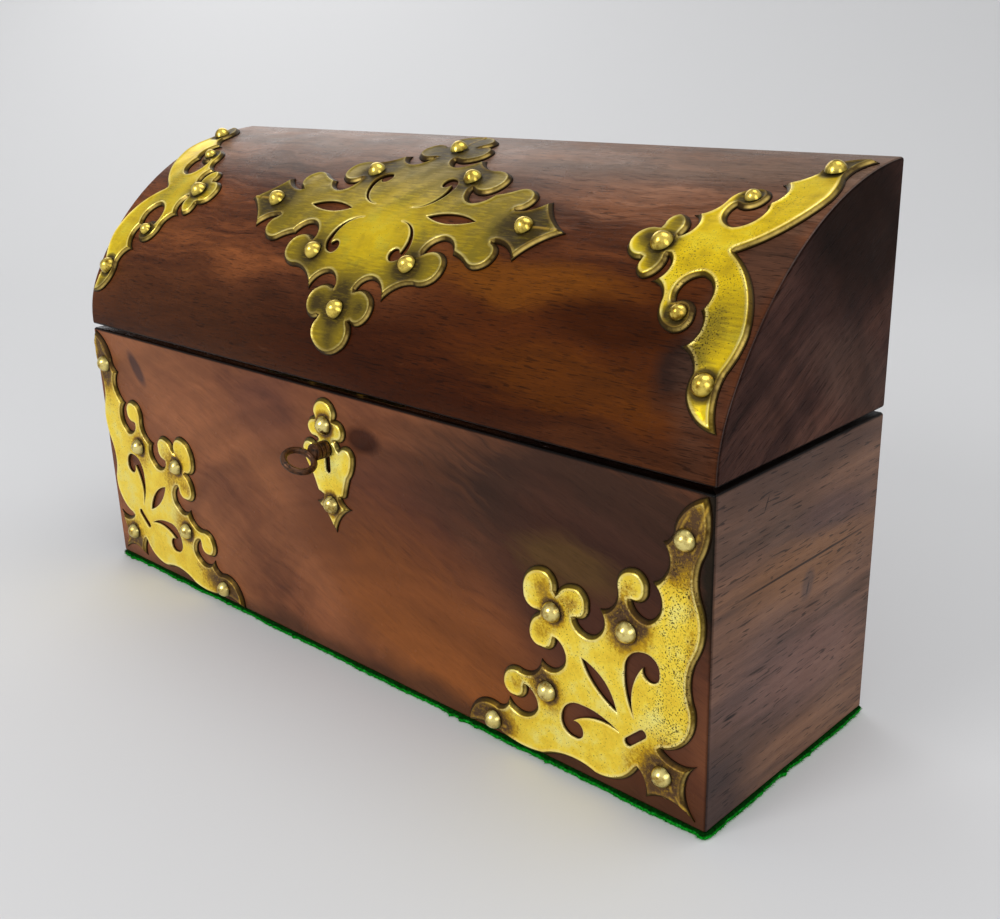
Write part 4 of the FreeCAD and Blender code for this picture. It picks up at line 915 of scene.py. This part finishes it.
def gilt_brass(name, order, field, clouded, pale, amber, brown_tint, rubbed_line_and_highlight, brushed, raggedness):
    """Gilt and lacquered brass sheet: bright field, pale lines of polish and painted highlight, a bevel dark with
    old lacquer and painted shade, brown patina and pits.
    """
    # The yellow lacquer over the metal scatters part of the light
    material, node, link = new_material(name, Metallic=0.62, Specular_IOR_Level=0.08)
    place = place_in(node, order)
    from_edge, from_cut, from_stud, patina, pitted, ridge, lit_edge = (
        node("Attribute", take="Fac", attribute_name=label)
        for label in ("from_edge", "from_cut", "from_stud", "patina", "pitted", "ridge", "lit_edge"))
    cloud = noise(node, place, (7, 7, 7), 5, 0.62)
    grain = noise(node, place, brushed, 3, 0.65)
    specks = noise(node, place, (0.42, 0.42, 0.42), 2, 0.6)
    tint = node("ValToRGB", cloud, stops=((0.3, clouded), (0.5, field), (0.72, pale)))
    tint = node("VectorMath:SCALE", tint, node("MapRange", grain, 0.35, 0.65, 0.94, 1.06))
    brown = node("Math:MAXIMUM", patina, node("MapRange", from_stud, 2.8, 4.8, 1, 0))
    # Patina ends raggedly, as the polishing cloth missed the hollows
    ragged = node("MapRange", node("Math:ADD", cloud, grain), 0.8, 1.2, -raggedness, raggedness)
    ragged = node("Math:MULTIPLY", ragged, node("MapRange", brown, 0, 0.25))
    brown = node("Math:ADD", brown, ragged, use_clamp=True)
    tint = node("Mix:RGBA", node("MapRange", brown, 0.1, 0.45, 0, 0.85), tint, amber)
    # Gold glints through the brown in flecks
    deep = node("Math:MULTIPLY", node("MapRange", brown, 0.45, 0.8, 0, 0.95),
                node("MapRange", grain, 0.5, 0.68, 1, 0.55))
    tint = node("Mix:RGBA", deep, tint, brown_tint)
    # Painted shade and old lacquer darken the bevel, with a painted highlight along its lower right, where it
    # faces the light
    lit = node("MapRange", node("Math:MULTIPLY_ADD", cloud, 1.6, lit_edge), 1.4, 1.95)
    lit = node("Math:MULTIPLY", lit, node("MapRange", from_edge, 0.5, 0.85, 1, 0.15))
    bevel = node("Mix:RGBA", lit, "#3c2a12", "#cdb060")
    tint = node("Mix:RGBA", node("MapRange", from_edge, 0.76, 1.04, 0.92, 0), tint, bevel)
    # Polish and a painted highlight keep a pale line along the edge and round the cut-outs, dimmer where the
    # sheet is brown
    line = node("Math:MULTIPLY", node("MapRange", from_edge, 1.1, 1.75, 1, 0),
                node("MapRange", from_edge, 0.88, 1.08, 0, 1))
    line = node("Math:MAXIMUM", line, node("MapRange", from_cut, 0.12, 0.55, 1, 0))
    line = node("Math:MULTIPLY", line, node("MapRange", cloud, 0.35, 0.6, 0.35 * rubbed_line_and_highlight, rubbed_line_and_highlight))
    line = node("Math:MULTIPLY", line, node("MapRange", brown, 0.3, 0.8, 1, 0.6))
    aged = node("MapRange", brown, 0.3, 0.8)
    tint = node("Mix:RGBA", line, tint, node("Mix:RGBA", aged, "#fbec9c", "#a88438"))
    tint = node("Mix:RGBA", node("MapRange", ridge, 0.2, 1, 0, 0.85), tint, "#c8a040")
    # Painted shade, with some black dirt, darkens where the brass meets the wood and down the walls of the
    # cut-outs
    foot_dirt_and_shade = node("Math:MAXIMUM", node("MapRange", from_edge, 0.1, 0.4, 0.85, 0),
                node("MapRange", from_cut, -0.5, -0.12, 0.95, 0))
    tint = node("Mix:RGBA", foot_dirt_and_shade, tint, "#1a1008")
    pit = node("Math:MULTIPLY", pitted, node("MapRange", cloud, 0.3, 0.6, 0.5, 1.1))
    pit = node("MapRange", node("Math:MULTIPLY_ADD", pit, 0.14, specks), 0.675, 0.745, 0, 0.9)
    link("Base Color", node("Mix:RGBA", pit, tint, "#342810"))
    rough = node("MapRange", node("Math:MAXIMUM", aged, pit), 0, 1, 0.3, 0.5)
    link("Roughness", node("Math:ADD", rough, node("MapRange", grain, 0, 1, -0.06, 0.08)))
    height = node("Math:ADD", node("Math:SUBTRACT", grain, pit), cloud)
    link("Normal", node("Bump", {"Height": height, "Strength": 0.4, "Distance": 0.0001}))
    return material


def worked_metal(name, base, spotted, roughness, metallic=1.0, coarse=2.5, foot_dirt_and_shade=False, slit_shade_front=False):
    """Metal with small changes of colour and polish over its surface, darker low down where dirt gathers and
    shade is painted, and with painted shade in the slit at the front.
    """
    material, node, link = new_material(name, Metallic=metallic)
    place = place_in(node, "xyz")
    cloud = noise(node, place, (coarse,) * 3, 5, 0.62)
    tint = node("ValToRGB", cloud, stops=((0.34, spotted), (0.52, base)))
    if foot_dirt_and_shade:
        rise = node("Attribute", take="Fac", attribute_name="rise")
        # Painted shade, with dirt, darkens each stud low down where it meets the plate
        tint = node("VectorMath:SCALE", tint, node("MapRange", rise, 0.05, 0.5, 0.25, 1))
    if slit_shade_front:
        # Painted shade, the same black as in the slit between lid and base
        depth = node("SeparateXYZ", place, take="Y")
        tint = node("VectorMath:SCALE", tint, node("MapRange", depth, -33.6, -31.6, 0.06, 1))
    link("Base Color", tint)
    link("Roughness", node("MapRange", cloud, 0.3, 0.7, roughness + 0.1, roughness - 0.05))
    link("Normal", node("Bump", {"Height": cloud, "Strength": 0.2, "Distance": 0.0001}))
    return material


def wool(name):
    """Green baize: fulled wool with a short nap, soft and matt, with painted shade where the box overhangs it."""
    material, node, link = new_material(name, Roughness=0.95, Specular_IOR_Level=0.05)
    place = place_in(node, "xyz")
    nap = noise(node, place, (0.7, 0.7, 0.7), 4)
    tint = node("ValToRGB", nap, stops=((0.3, "#03560a"), (0.55, colours().baize), (0.8, "#2cc044")))
    height = node("SeparateXYZ", place, take="Z")
    # Painted shade: darker towards the top of the edge, where the box overhangs it
    link("Base Color", node("VectorMath:SCALE", tint, node("MapRange", height, 0.9, 1.3, 1, 0.12)))
    link("Normal", node("Bump", {"Height": nap, "Strength": 0.6, "Distance": 0.0003}))
    return material


# What each mount looks like: brown patina, black pits and raised vein lines, in millimetres on its surface

RIGHT_CORNER_PATINA = (
    (99, 44.1, 5, 6, 1.1), (95.5, 49, 3.5, 3.5, 0.9), (103, 47, 3, 3, 0.6), (75.8, 20.8, 4.4, 4.4, 0.9),
    (72.5, 25, 3, 3, 0.9), (77.6, 42, 4, 4, 0.9), (55.5, 5.2, 7, 6, 1.4), (62.5, 6, 3.5, 3, 0.5),
    (110, 10, 8, 8, 1.5), (113.8, 71, 6, 8.5, 1.5), (110.5, 61, 2.6, 3, 0.6), (116, 40, 1.8, 22, 0.35),
    (83.5, 46.5, 2.2, 2.2, 0.36), (74.5, 48.2, 2.6, 2.8, 0.5), (73.9, 35.7, 2.2, 2.2, 0.45),
    (66, 19.3, 2.2, 2.2, 0.4), (100, 55.5, 2.2, 2.2, 0.25),
)
RIGHT_CORNER_PITS = ((112.5, 50, 5, 20, 0.9), (110, 26, 7, 14, 0.6), (88, 30, 40, 40, 0.4), (111, 56, 5, 8, 0.6),
                     (97, 52, 5, 5, 0.5), (82, 45, 5, 5, 0.4), (70, 22, 5, 5, 0.4))
LEFT_CORNER_PATINA = (
    (-99, 44.1, 5, 6, 0.5), (-77.6, 42, 5, 5, 0.6), (-56, 5, 7.5, 6, 1.3), (-111, 8, 7, 7, 1.3),
    (-114, 73, 4.5, 8, 1.3), (-95, 32, 60, 60, 0.1), (-75.8, 22, 4.5, 4.5, 0.6), (-83, 38, 4, 6, 0.3),
    (-66, 10, 6, 5, 0.4), (-113.6, 66, 4, 8, 0.5), (-73.9, 35.7, 2.6, 2.6, 0.3),
)
CORNER_RIDGES = (
    ((119.0, 79.0), (115.2, 66.0)), ((111.5, 70.0), (114.6, 76.0)), ((54.0, 2.8), (62.0, 5.6)),
    ((118.2, 3.0), (106.5, 14.5)), ((113.5, 2.4), (109.5, 6.5)), ((118.6, 8.0), (114.5, 12.0)),
)

# Each mount's studs and looks
MOUNTS = {
    "base_right_corner_mount": ("base_right_mount_studs", RIGHT_CORNER_PATINA, RIGHT_CORNER_PITS,
                                CORNER_RIDGES),
    "base_left_corner_mount": ("base_left_mount_studs", LEFT_CORNER_PATINA, ((-112, 45, 6, 20, 0.4),),
                               tuple(tuple((-x, y) for x, y in line) for line in CORNER_RIDGES)),
    "escutcheon_plate": ("escutcheon_studs", ((-1, 48, 4, 4, 0.6), (-1, 72, 4, 3, 0.5)),
                         ((-1, 60, 6, 10, 0.5),), ()),
    "lid_centre_mount": (
        "lid_centre_mount_studs",
        ((0, 20, 4.6, 4.6, 0.8), (8.3, 21, 2.8, 3, 0.3), (-8.3, 21, 2.8, 3, 0.45), (0.6, 11.5, 3.4, 3.6, 0.25),
         (0, 27, 6, 4, 0.3), (48, 50, 7, 6, 0.9), (-48, 50, 7, 6, 0.7), (0, 82, 7, 7, 0.6),
         (18.6, 34.8, 5, 5, 0.8), (-18.6, 34.8, 5, 5, 0.7), (18.6, 65.2, 5, 5, 0.8), (-18.6, 65.2, 5, 5, 0.8),
         (0, 50, 300, 300, 0.44), (0, 43, 19, 12, -0.32), (2, 76, 36, 13, 0.24)),
        ((20, 60, 10, 10, 0.4), (4, 42, 12, 8, 0.3)),
        (((58.0, 50.0), (50.5, 50.0)), ((-58.0, 50.0), (-50.5, 50.0)), ((0, 92.0), (0, 83.0))),
    ),
    "lid_right_mount": (
        "lid_right_mount_studs",
        ((88, 50, 4.2, 4.2, 0.9), (89.2, 44.6, 2.4, 2.4, 0.55), (89, 57.4, 2.6, 2.6, 0.6),
         (83.4, 51.4, 2.2, 2.4, 0.6), (101.2, 33.4, 4, 4, 0.7), (101.2, 66.6, 4, 4, 0.6),
         (111, 33, 6, 9, 0.4), (107, 21, 6, 7, 0.6), (112, 10, 3, 6, 0.5),
         (114, 86, 5, 8, 0.9), (117, 50, 2.5, 20, 0.3)),
        ((108, 40, 8, 14, 1.0), (96, 46, 6, 8, 0.8), (110, 66, 6, 10, 0.6), (108, 26, 6, 6, 0.7)), (),
    ),
    "lid_left_mount": (
        "lid_left_mount_studs",
        ((-88, 50, 6, 6, 0.7), (-101.2, 33.4, 4, 4, 0.7), (-101.2, 66.6, 4, 4, 0.6), (-113, 12, 4, 6, 0.6),
         (-114, 86, 5, 8, 0.8), (-104, 50, 6, 24, 0.25)),
        ((-104, 50, 8, 20, 0.4),), (),
    ),
}


# Operators, one for each group of like pieces

class LETTERBOX_OT_boards(bpy.types.Operator):
    """Build the outer boards of the base and the lid with worn arrises"""
    bl_idname = "letterbox.boards"
    bl_label = "Boards"

    def execute(self, context):
        looks = board_materials()
        for node in ("base_front_board", "lid_dome_board"):
            board(node, looks[node], "walnut_boards")
        for node in ("base_back_board", "lid_back_board"):
            board(node, looks["back"], "walnut_boards")
        for side in ("left", "right"):
            board(f"base_{side}_end", looks["base_end"], "walnut_ends")
            board(f"lid_{side}_end", looks["lid_end"], "walnut_ends")
        eased_copy("base_bottom_board", sizes().metal_edge, looks["bottom"], "walnut_boards")
        for node in ("front_divider", "middle_divider", "back_divider"):
            eased_copy(node, sizes().rack_edge, looks["divider"], "rack_walnut")
        for node in ("rack_left_cheek", "rack_right_cheek"):
            eased_copy(node, sizes().metal_edge, looks["cheek"], "rack_walnut")
        return {"FINISHED"}


def stud_seats(node):
    """Middle of each stud's seat and its outward axis, from the CAD studs."""
    surface, place = surface_of(node)
    seats = []
    for group in islands(node):
        middle = (group.min(axis=0) + group.max(axis=0)) / 2
        across, up, _, angle = place(middle[None, :])
        for _ in range(3):
            # The seat lies under the head's highest point, found along the axis itself
            axis = np.array((0, -math.cos(angle[0]), math.sin(angle[0])))
            along = group @ axis
            head = group[along > along.max() - SAME_HEIGHT].mean(axis=0)
            across, up, _, angle = place(head[None, :])
        seat = surface(across, up, np.array([FIELD_LIFT]))[0]
        seats.append((seat, axis, (across[0], up[0])))
    return seats


class LETTERBOX_OT_mounts(bpy.types.Operator):
    """Build the pierced brass mounts over the CAD outlines"""
    bl_idname = "letterbox.mounts"
    bl_label = "Brass mounts"

    def execute(self, context):
        # Pressed brass sheet under yellow lacquer, bright and broad in its shine, brown where it wore off
        flat = gilt_brass("lacquered_gilt_brass", "xyz", colours().gold, "#efc838", "#fff48c", "#b88a14",
                          "#503a30", 0.9, (0.7, 0.7, 0.7), 0.22)
        # The same on the lid, where hands dulled it to olive in the hollows
        domed = gilt_brass("dulled_gilt_brass", "surface", "#eac81c", "#c4a41a", "#f4de3c", "#74621c",
                           "#3c3018", 0.7, (5, 0.7, 0.7), 0.12)
        for node, (studs, patina, pits, ridges) in MOUNTS.items():
            points = [flat_place for _, _, flat_place in stud_seats(studs)]
            mount(node, points, patina, pits, ridges, domed if node.startswith("lid_") else flat)
        return {"FINISHED"}


STUD_SECTION = ((0, -1.0), (0.7, -1.0), (0.7, 0.0), (2.58, 0.0), (2.65, 0.12), (2.55, 0.34), (2.3, 0.85),
                (1.85, 1.45), (1.25, 1.95), (0.62, 2.22), (0, 2.3))


class LETTERBOX_OT_studs(bpy.types.Operator):
    """Set a domed stud on every stud place of the mounts"""
    bl_idname = "letterbox.studs"
    bl_label = "Studs"

    def execute(self, context):
        # Turned brass studs, gilt, rubbed pale on their tops
        pale = worked_metal("rubbed_stud_brass", colours().pale_gold, "#9a7a30", 0.22, foot_dirt_and_shade=True)
        # Those of the lid kept more of their amber lacquer
        amber = worked_metal("amber_stud_brass", "#ecd060", "#8a6a1e", 0.2, foot_dirt_and_shade=True)
        for node, *_ in MOUNTS.values():
            brass = amber if node.startswith("lid_") else pale
            seats = stud_seats(node)
            pattern = turned_pattern("stud_pattern", STUD_SECTION, 36)
            # The studs on the scrolls of the side mounts are small ones
            own_sizes = [0.76 if abs(abs(across) - 101.2) < 1.5 and node.startswith("lid_") else 1.0
                         for _, _, (across, _) in seats]
            scattered(node, pattern, seats, own_sizes, brass)
        return {"FINISHED"}


LOCK_PLATES = ("lock_case", "lock_back_plate", "lock_top_plate", "lock_link_plate", "hinge_left_base_leaf",
               "hinge_left_lid_leaf", "hinge_right_base_leaf", "hinge_right_lid_leaf")
LOCK_STEELS = ("lock_bolt", "lock_spring", "lock_drill_pin", "hinge_left_pin", "hinge_right_pin")
SCREW_NODES = ("base_hinge_screws", "lid_hinge_screws", "lock_back_screws", "lock_top_screws", "link_screws")


class LETTERBOX_OT_fittings(bpy.types.Operator):
    """Finish the lock, the link plate, the hinges and their screws"""
    bl_idname = "letterbox.fittings"
    bl_label = "Lock and hinges"

    def execute(self, context):
        # Plain rolled brass, satin from filing, tarnished brown in places
        brass = worked_metal("satin_lock_brass", colours().lock_brass, "#8d6c34", 0.34, slit_shade_front=True)
        # Filed steel of the bolt, spring and pins, greyed with age
        steel = worked_metal("filed_lock_steel", colours().steel, "#57524c", 0.36)
        # Brass screws, a little redder than the plates
        screw_brass = worked_metal("satin_screw_brass", "#b08a45", "#6e5228", 0.36)
        for node in LOCK_PLATES:
            eased_copy(node, sizes().metal_edge, brass, "lock_brass")
        for node in LOCK_STEELS:
            eased_copy(node, sizes().metal_edge, steel, "lock_steel")
        for node in SCREW_NODES:
            eased_copy(node, sizes().metal_edge / 2, screw_brass, "brass_screws")
        return {"FINISHED"}


class LETTERBOX_OT_key(bpy.types.Operator):
    """Build the key in the lock"""
    bl_idname = "letterbox.key"
    bl_label = "Key"

    def execute(self, context):
        # Dark oxidised iron, rubbed orange-brown where fingers hold it
        iron = worked_metal("rubbed_key_iron", colours().iron, "#1a100a", 0.36, metallic=0.6, coarse=1.2)
        eased_copy("key", sizes().metal_edge, iron, "key_iron")
        return {"FINISHED"}


def nap_tree(material):
    """Short fibres standing out from a mesh's faces."""
    tree, node, given = node_group("baize_nap_tree", (
        ("Edge", "Geometry", None), ("Density", "Float", 1e6), ("Shortest", "Float", 0.0003),
        ("Longest", "Float", 0.0009), ("Thickness", "Float", 0.00007), ("Seed", "Int", 3)))
    points = node("DistributePointsOnFaces", {"Mesh": given["Edge"], "Density": given["Density"],
                                              "Seed": given["Seed"]}, take=None).outputs
    # No fibre points down, into what the box stands on
    lean = node("FunctionNodeRandomValue:FLOAT_VECTOR", (-1.0, -1.0, 0.02), (1.0, 1.0, 1.0), None, given["Seed"])
    outward = node("ShaderNodeVectorMath:MULTIPLY_ADD", points["Normal"], (1, 1, 0), lean)
    turned = node("FunctionNodeAlignRotationToVector", {"Vector": outward}, axis="Z")
    long = node("FunctionNodeRandomValue:FLOAT", given["Shortest"], given["Longest"], None, given["Seed"])
    scale = node("ShaderNodeCombineXYZ", given["Thickness"], given["Thickness"], long)
    fibre = node("MeshCone", {"Vertices": 3, "Radius Top": 0.3, "Radius Bottom": 1.0, "Depth": 1.0})
    finish_group(node, node("InstanceOnPoints", {"Points": points["Points"], "Instance": fibre,
                                                 "Rotation": turned, "Scale": scale}), material)
    return tree


BAIZE_HALF_LENGTH, BAIZE_HALF_DEPTH = 120.4, 35.4
# Height of each ring of the baize's edge above the floor, and how far out it stands, in millimetres
BAIZE_RINGS = ((0.0, -0.25), (0.25, 0.0), (0.8, 0.1), (1.35, 0.02), (1.6, -0.35))


def baize_outline():
    """The cut edge of the baize, straying a little from a rectangle."""
    step = 1.0
    half = np.array((BAIZE_HALF_LENGTH, BAIZE_HALF_DEPTH))
    line = resampled(half * ((1, -1), (1, 1), (-1, 1), (-1, -1)), step)
    phase = np.arange(len(line)) * step
    stray = sizes().baize_wander / MM * (0.5 * np.sin(phase / 7.3) + 0.35 * np.sin(phase / 3.1 + 1)
                                         + rng.normal(0, 0.28, len(line)))
    # A few tufts were left by the shears
    stray += 0.6 * (rng.random(len(line)) > 0.97)
    outward = np.where(np.abs(line) > half - 1e-6, np.sign(line), 0)
    outward = outward / np.maximum(np.linalg.norm(outward, axis=1), 1)[:, None]
    stray[(np.abs(outward) > 0.1).all(axis=1)] = -0.48
    return line + outward * (stray - 0.1)[:, None]


class LETTERBOX_OT_baize(bpy.types.Operator):
    """Lay the green baize under the base, with its nap"""
    bl_idname = "letterbox.baize"
    bl_label = "Baize"

    def execute(self, context):
        material = wool("green_wool_baize")
        outline = baize_outline()
        work = bmesh.new()
        rings = []
        for height, proud in BAIZE_RINGS:
            sized = outline * (1 + proud / np.array((BAIZE_HALF_LENGTH, BAIZE_HALF_DEPTH)))
            rings.append([work.verts.new((x * MM, y * MM, height * MM)) for x, y in sized])
        join_rings(work, rings)
        edge_mesh = bpy.data.meshes.new("baize_edge")
        work.to_mesh(edge_mesh)
        work.faces.new(rings[0][::-1])
        work.faces.new(rings[-1])
        bmesh.ops.recalc_face_normals(work, faces=work.faces)
        cloth = new_object("underside_baize_cloth", mesh_of(work, "underside_baize_cloth", 50))
        finish_piece(cloth, "base", material, "green_baize", "underside_baize")
        area = sum(face.area for face in edge_mesh.polygons)
        nap = evaluated("underside_baize_nap", edge_mesh, nap_tree(material),
                        {"Density": sizes().nap_count / area, "Longest": sizes().nap_length})
        finish_piece(nap, "base", material, "green_baize")
        return {"FINISHED"}


# Stage: pale floor running up into a backdrop, level studio light and the photograph's camera

CAMERA_TURNS = tuple(math.radians(turn) for turn in (43.839, 70.550, -1.714))
CAMERA_PLACE = (0.241338, -0.222134, 0.166681)
CAMERA_LENS, CAMERA_SENSOR = 43.36, 36.0
# Name, place, what it shines on, width and power of each lamp
LAMPS = (
    ("key_light", (-0.25, -1.25, 0.8), (0, 0, 0.06), 0.6, 7.5),
    ("top_light", (0.35, 0.25, 1.3), (0, 0, 0.1), 0.9, 4.0),
    ("window_light", (-0.95, 0.6, 0.7), (0, 0, 0.13), 0.8, 2.2),
    ("fill_light", (1.3, -0.5, 0.5), (0, 0, 0.07), 0.8, 3.6),
)
# The floor runs from before the box to behind it, where it bends up into the backdrop, in metres
FLOOR_NEAR, FLOOR_FAR, BACKDROP_BEND, BACKDROP_TOP = -2.2, 0.55, 0.9, 3.0


class LETTERBOX_OT_stage(bpy.types.Operator):
    """Set the floor, the light and the camera"""
    bl_idname = "letterbox.stage"
    bl_label = "Stage"

    def execute(self, context):
        scene = context.scene
        reach = sizes().floor_reach
        forward = Vector((-math.sin(CAMERA_TURNS[0]), math.cos(CAMERA_TURNS[0]), 0))
        sideways = Vector((forward.y, -forward.x, 0))
        section = [(FLOOR_NEAR, 0.0), (FLOOR_FAR, 0.0)]
        section += [(FLOOR_FAR + BACKDROP_BEND * math.sin(turn), BACKDROP_BEND * (1 - math.cos(turn)))
                    for turn in np.linspace(0.05, math.pi / 2, 16)]
        section.append((FLOOR_FAR + BACKDROP_BEND, BACKDROP_TOP))
        verts = [forward * away + Vector((0, 0, height)) + sideways * side
                 for away, height in section for side in (-reach, reach)]
        faces = [(index, index + 1, index + 3, index + 2) for index in range(0, len(verts) - 2, 2)]
        mesh = bpy.data.meshes.new("floor")
        mesh.from_pydata(verts, [], faces)
        mesh.shade_smooth()
        # Matt white board, which takes the shadow and shows no shine
        board_white, _, _ = new_material("matt_white_board", Base_Color=(*colours().floor, 1), Roughness=0.75)
        mesh.materials.append(board_white)
        new_object("floor", mesh)
        world = bpy.data.worlds.new("pale_room")
        scene.world = world
        world.use_nodes = True
        world.node_tree.nodes.clear()
        node = partial(add, world.node_tree)
        path = node("LightPath", take=None).outputs
        seen = node("Math:MAXIMUM", path["Is Camera Ray"], path["Is Glossy Ray"])
        seen = node("Math:MAXIMUM", seen, path["Is Transmission Ray"])
        node("OutputWorld", node("MixShader", seen, node("Background", "#f2f3f4", 0.72),
                                 node("Background", "#dcdcdc", 1.0)))
        for name, place, aim, wide, power in LAMPS:
            lamp = bpy.data.lights.new(name, "AREA")
            lamp.shape, lamp.size, lamp.energy = "DISK", wide, power
            heading = (Vector(aim) - Vector(place)).to_track_quat("-Z", "Y")
            new_object(name, lamp).matrix_world = Matrix.Translation(place) @ heading.to_matrix().to_4x4()
        camera = bpy.data.cameras.new("photo_camera")
        camera.sensor_fit, camera.sensor_width = "HORIZONTAL", CAMERA_SENSOR
        camera.lens, camera.clip_start = CAMERA_LENS, 0.01
        scene.camera = new_object("photo_camera", camera)
        heading, tilt, roll = CAMERA_TURNS
        scene.camera.matrix_world = (Matrix.Translation(CAMERA_PLACE) @ Matrix.Rotation(heading, 4, "Z")
                                     @ Matrix.Rotation(tilt, 4, "X") @ Matrix.Rotation(roll, 4, "Z"))
        scene.view_settings.view_transform = "Standard"
        return {"FINISHED"}


OPERATORS = (LETTERBOX_OT_boards, LETTERBOX_OT_mounts, LETTERBOX_OT_studs, LETTERBOX_OT_fittings,
             LETTERBOX_OT_key, LETTERBOX_OT_baize, LETTERBOX_OT_stage)


class LETTERBOX_PT_panel(bpy.types.Panel):
    """Buttons that build the letter box piece by piece"""
    bl_idname = "LETTERBOX_PT_panel"
    bl_label = "Letter Box"
    bl_space_type = "VIEW_3D"
    bl_region_type = "UI"
    bl_category = "Letter Box"

    def draw(self, context):
        for operator in OPERATORS:
            self.layout.operator(operator.bl_idname)
        for group in (context.scene.letter_box_sizes, context.scene.letter_box_colours):
            for name in group.__annotations__:
                self.layout.prop(group, name)


CLASSES = (LetterBoxSizes, LetterBoxColours, *OPERATORS, LETTERBOX_PT_panel)


def register():
    for cls in CLASSES:
        bpy.utils.register_class(cls)
    bpy.types.Scene.letter_box_sizes = PointerProperty(type=LetterBoxSizes)
    bpy.types.Scene.letter_box_colours = PointerProperty(type=LetterBoxColours)


def unregister():
    del bpy.types.Scene.letter_box_colours
    del bpy.types.Scene.letter_box_sizes
    for cls in reversed(CLASSES):
        bpy.utils.unregister_class(cls)


def main():
    register()
    bpy.ops.letterbox.stage()
    bpy.ops.letterbox.boards()
    bpy.ops.letterbox.mounts()
    bpy.ops.letterbox.studs()
    bpy.ops.letterbox.fittings()
    bpy.ops.letterbox.key()
    bpy.ops.letterbox.baize()
    bpy.context.view_layer.update()


if __name__ == "__main__":
    main()
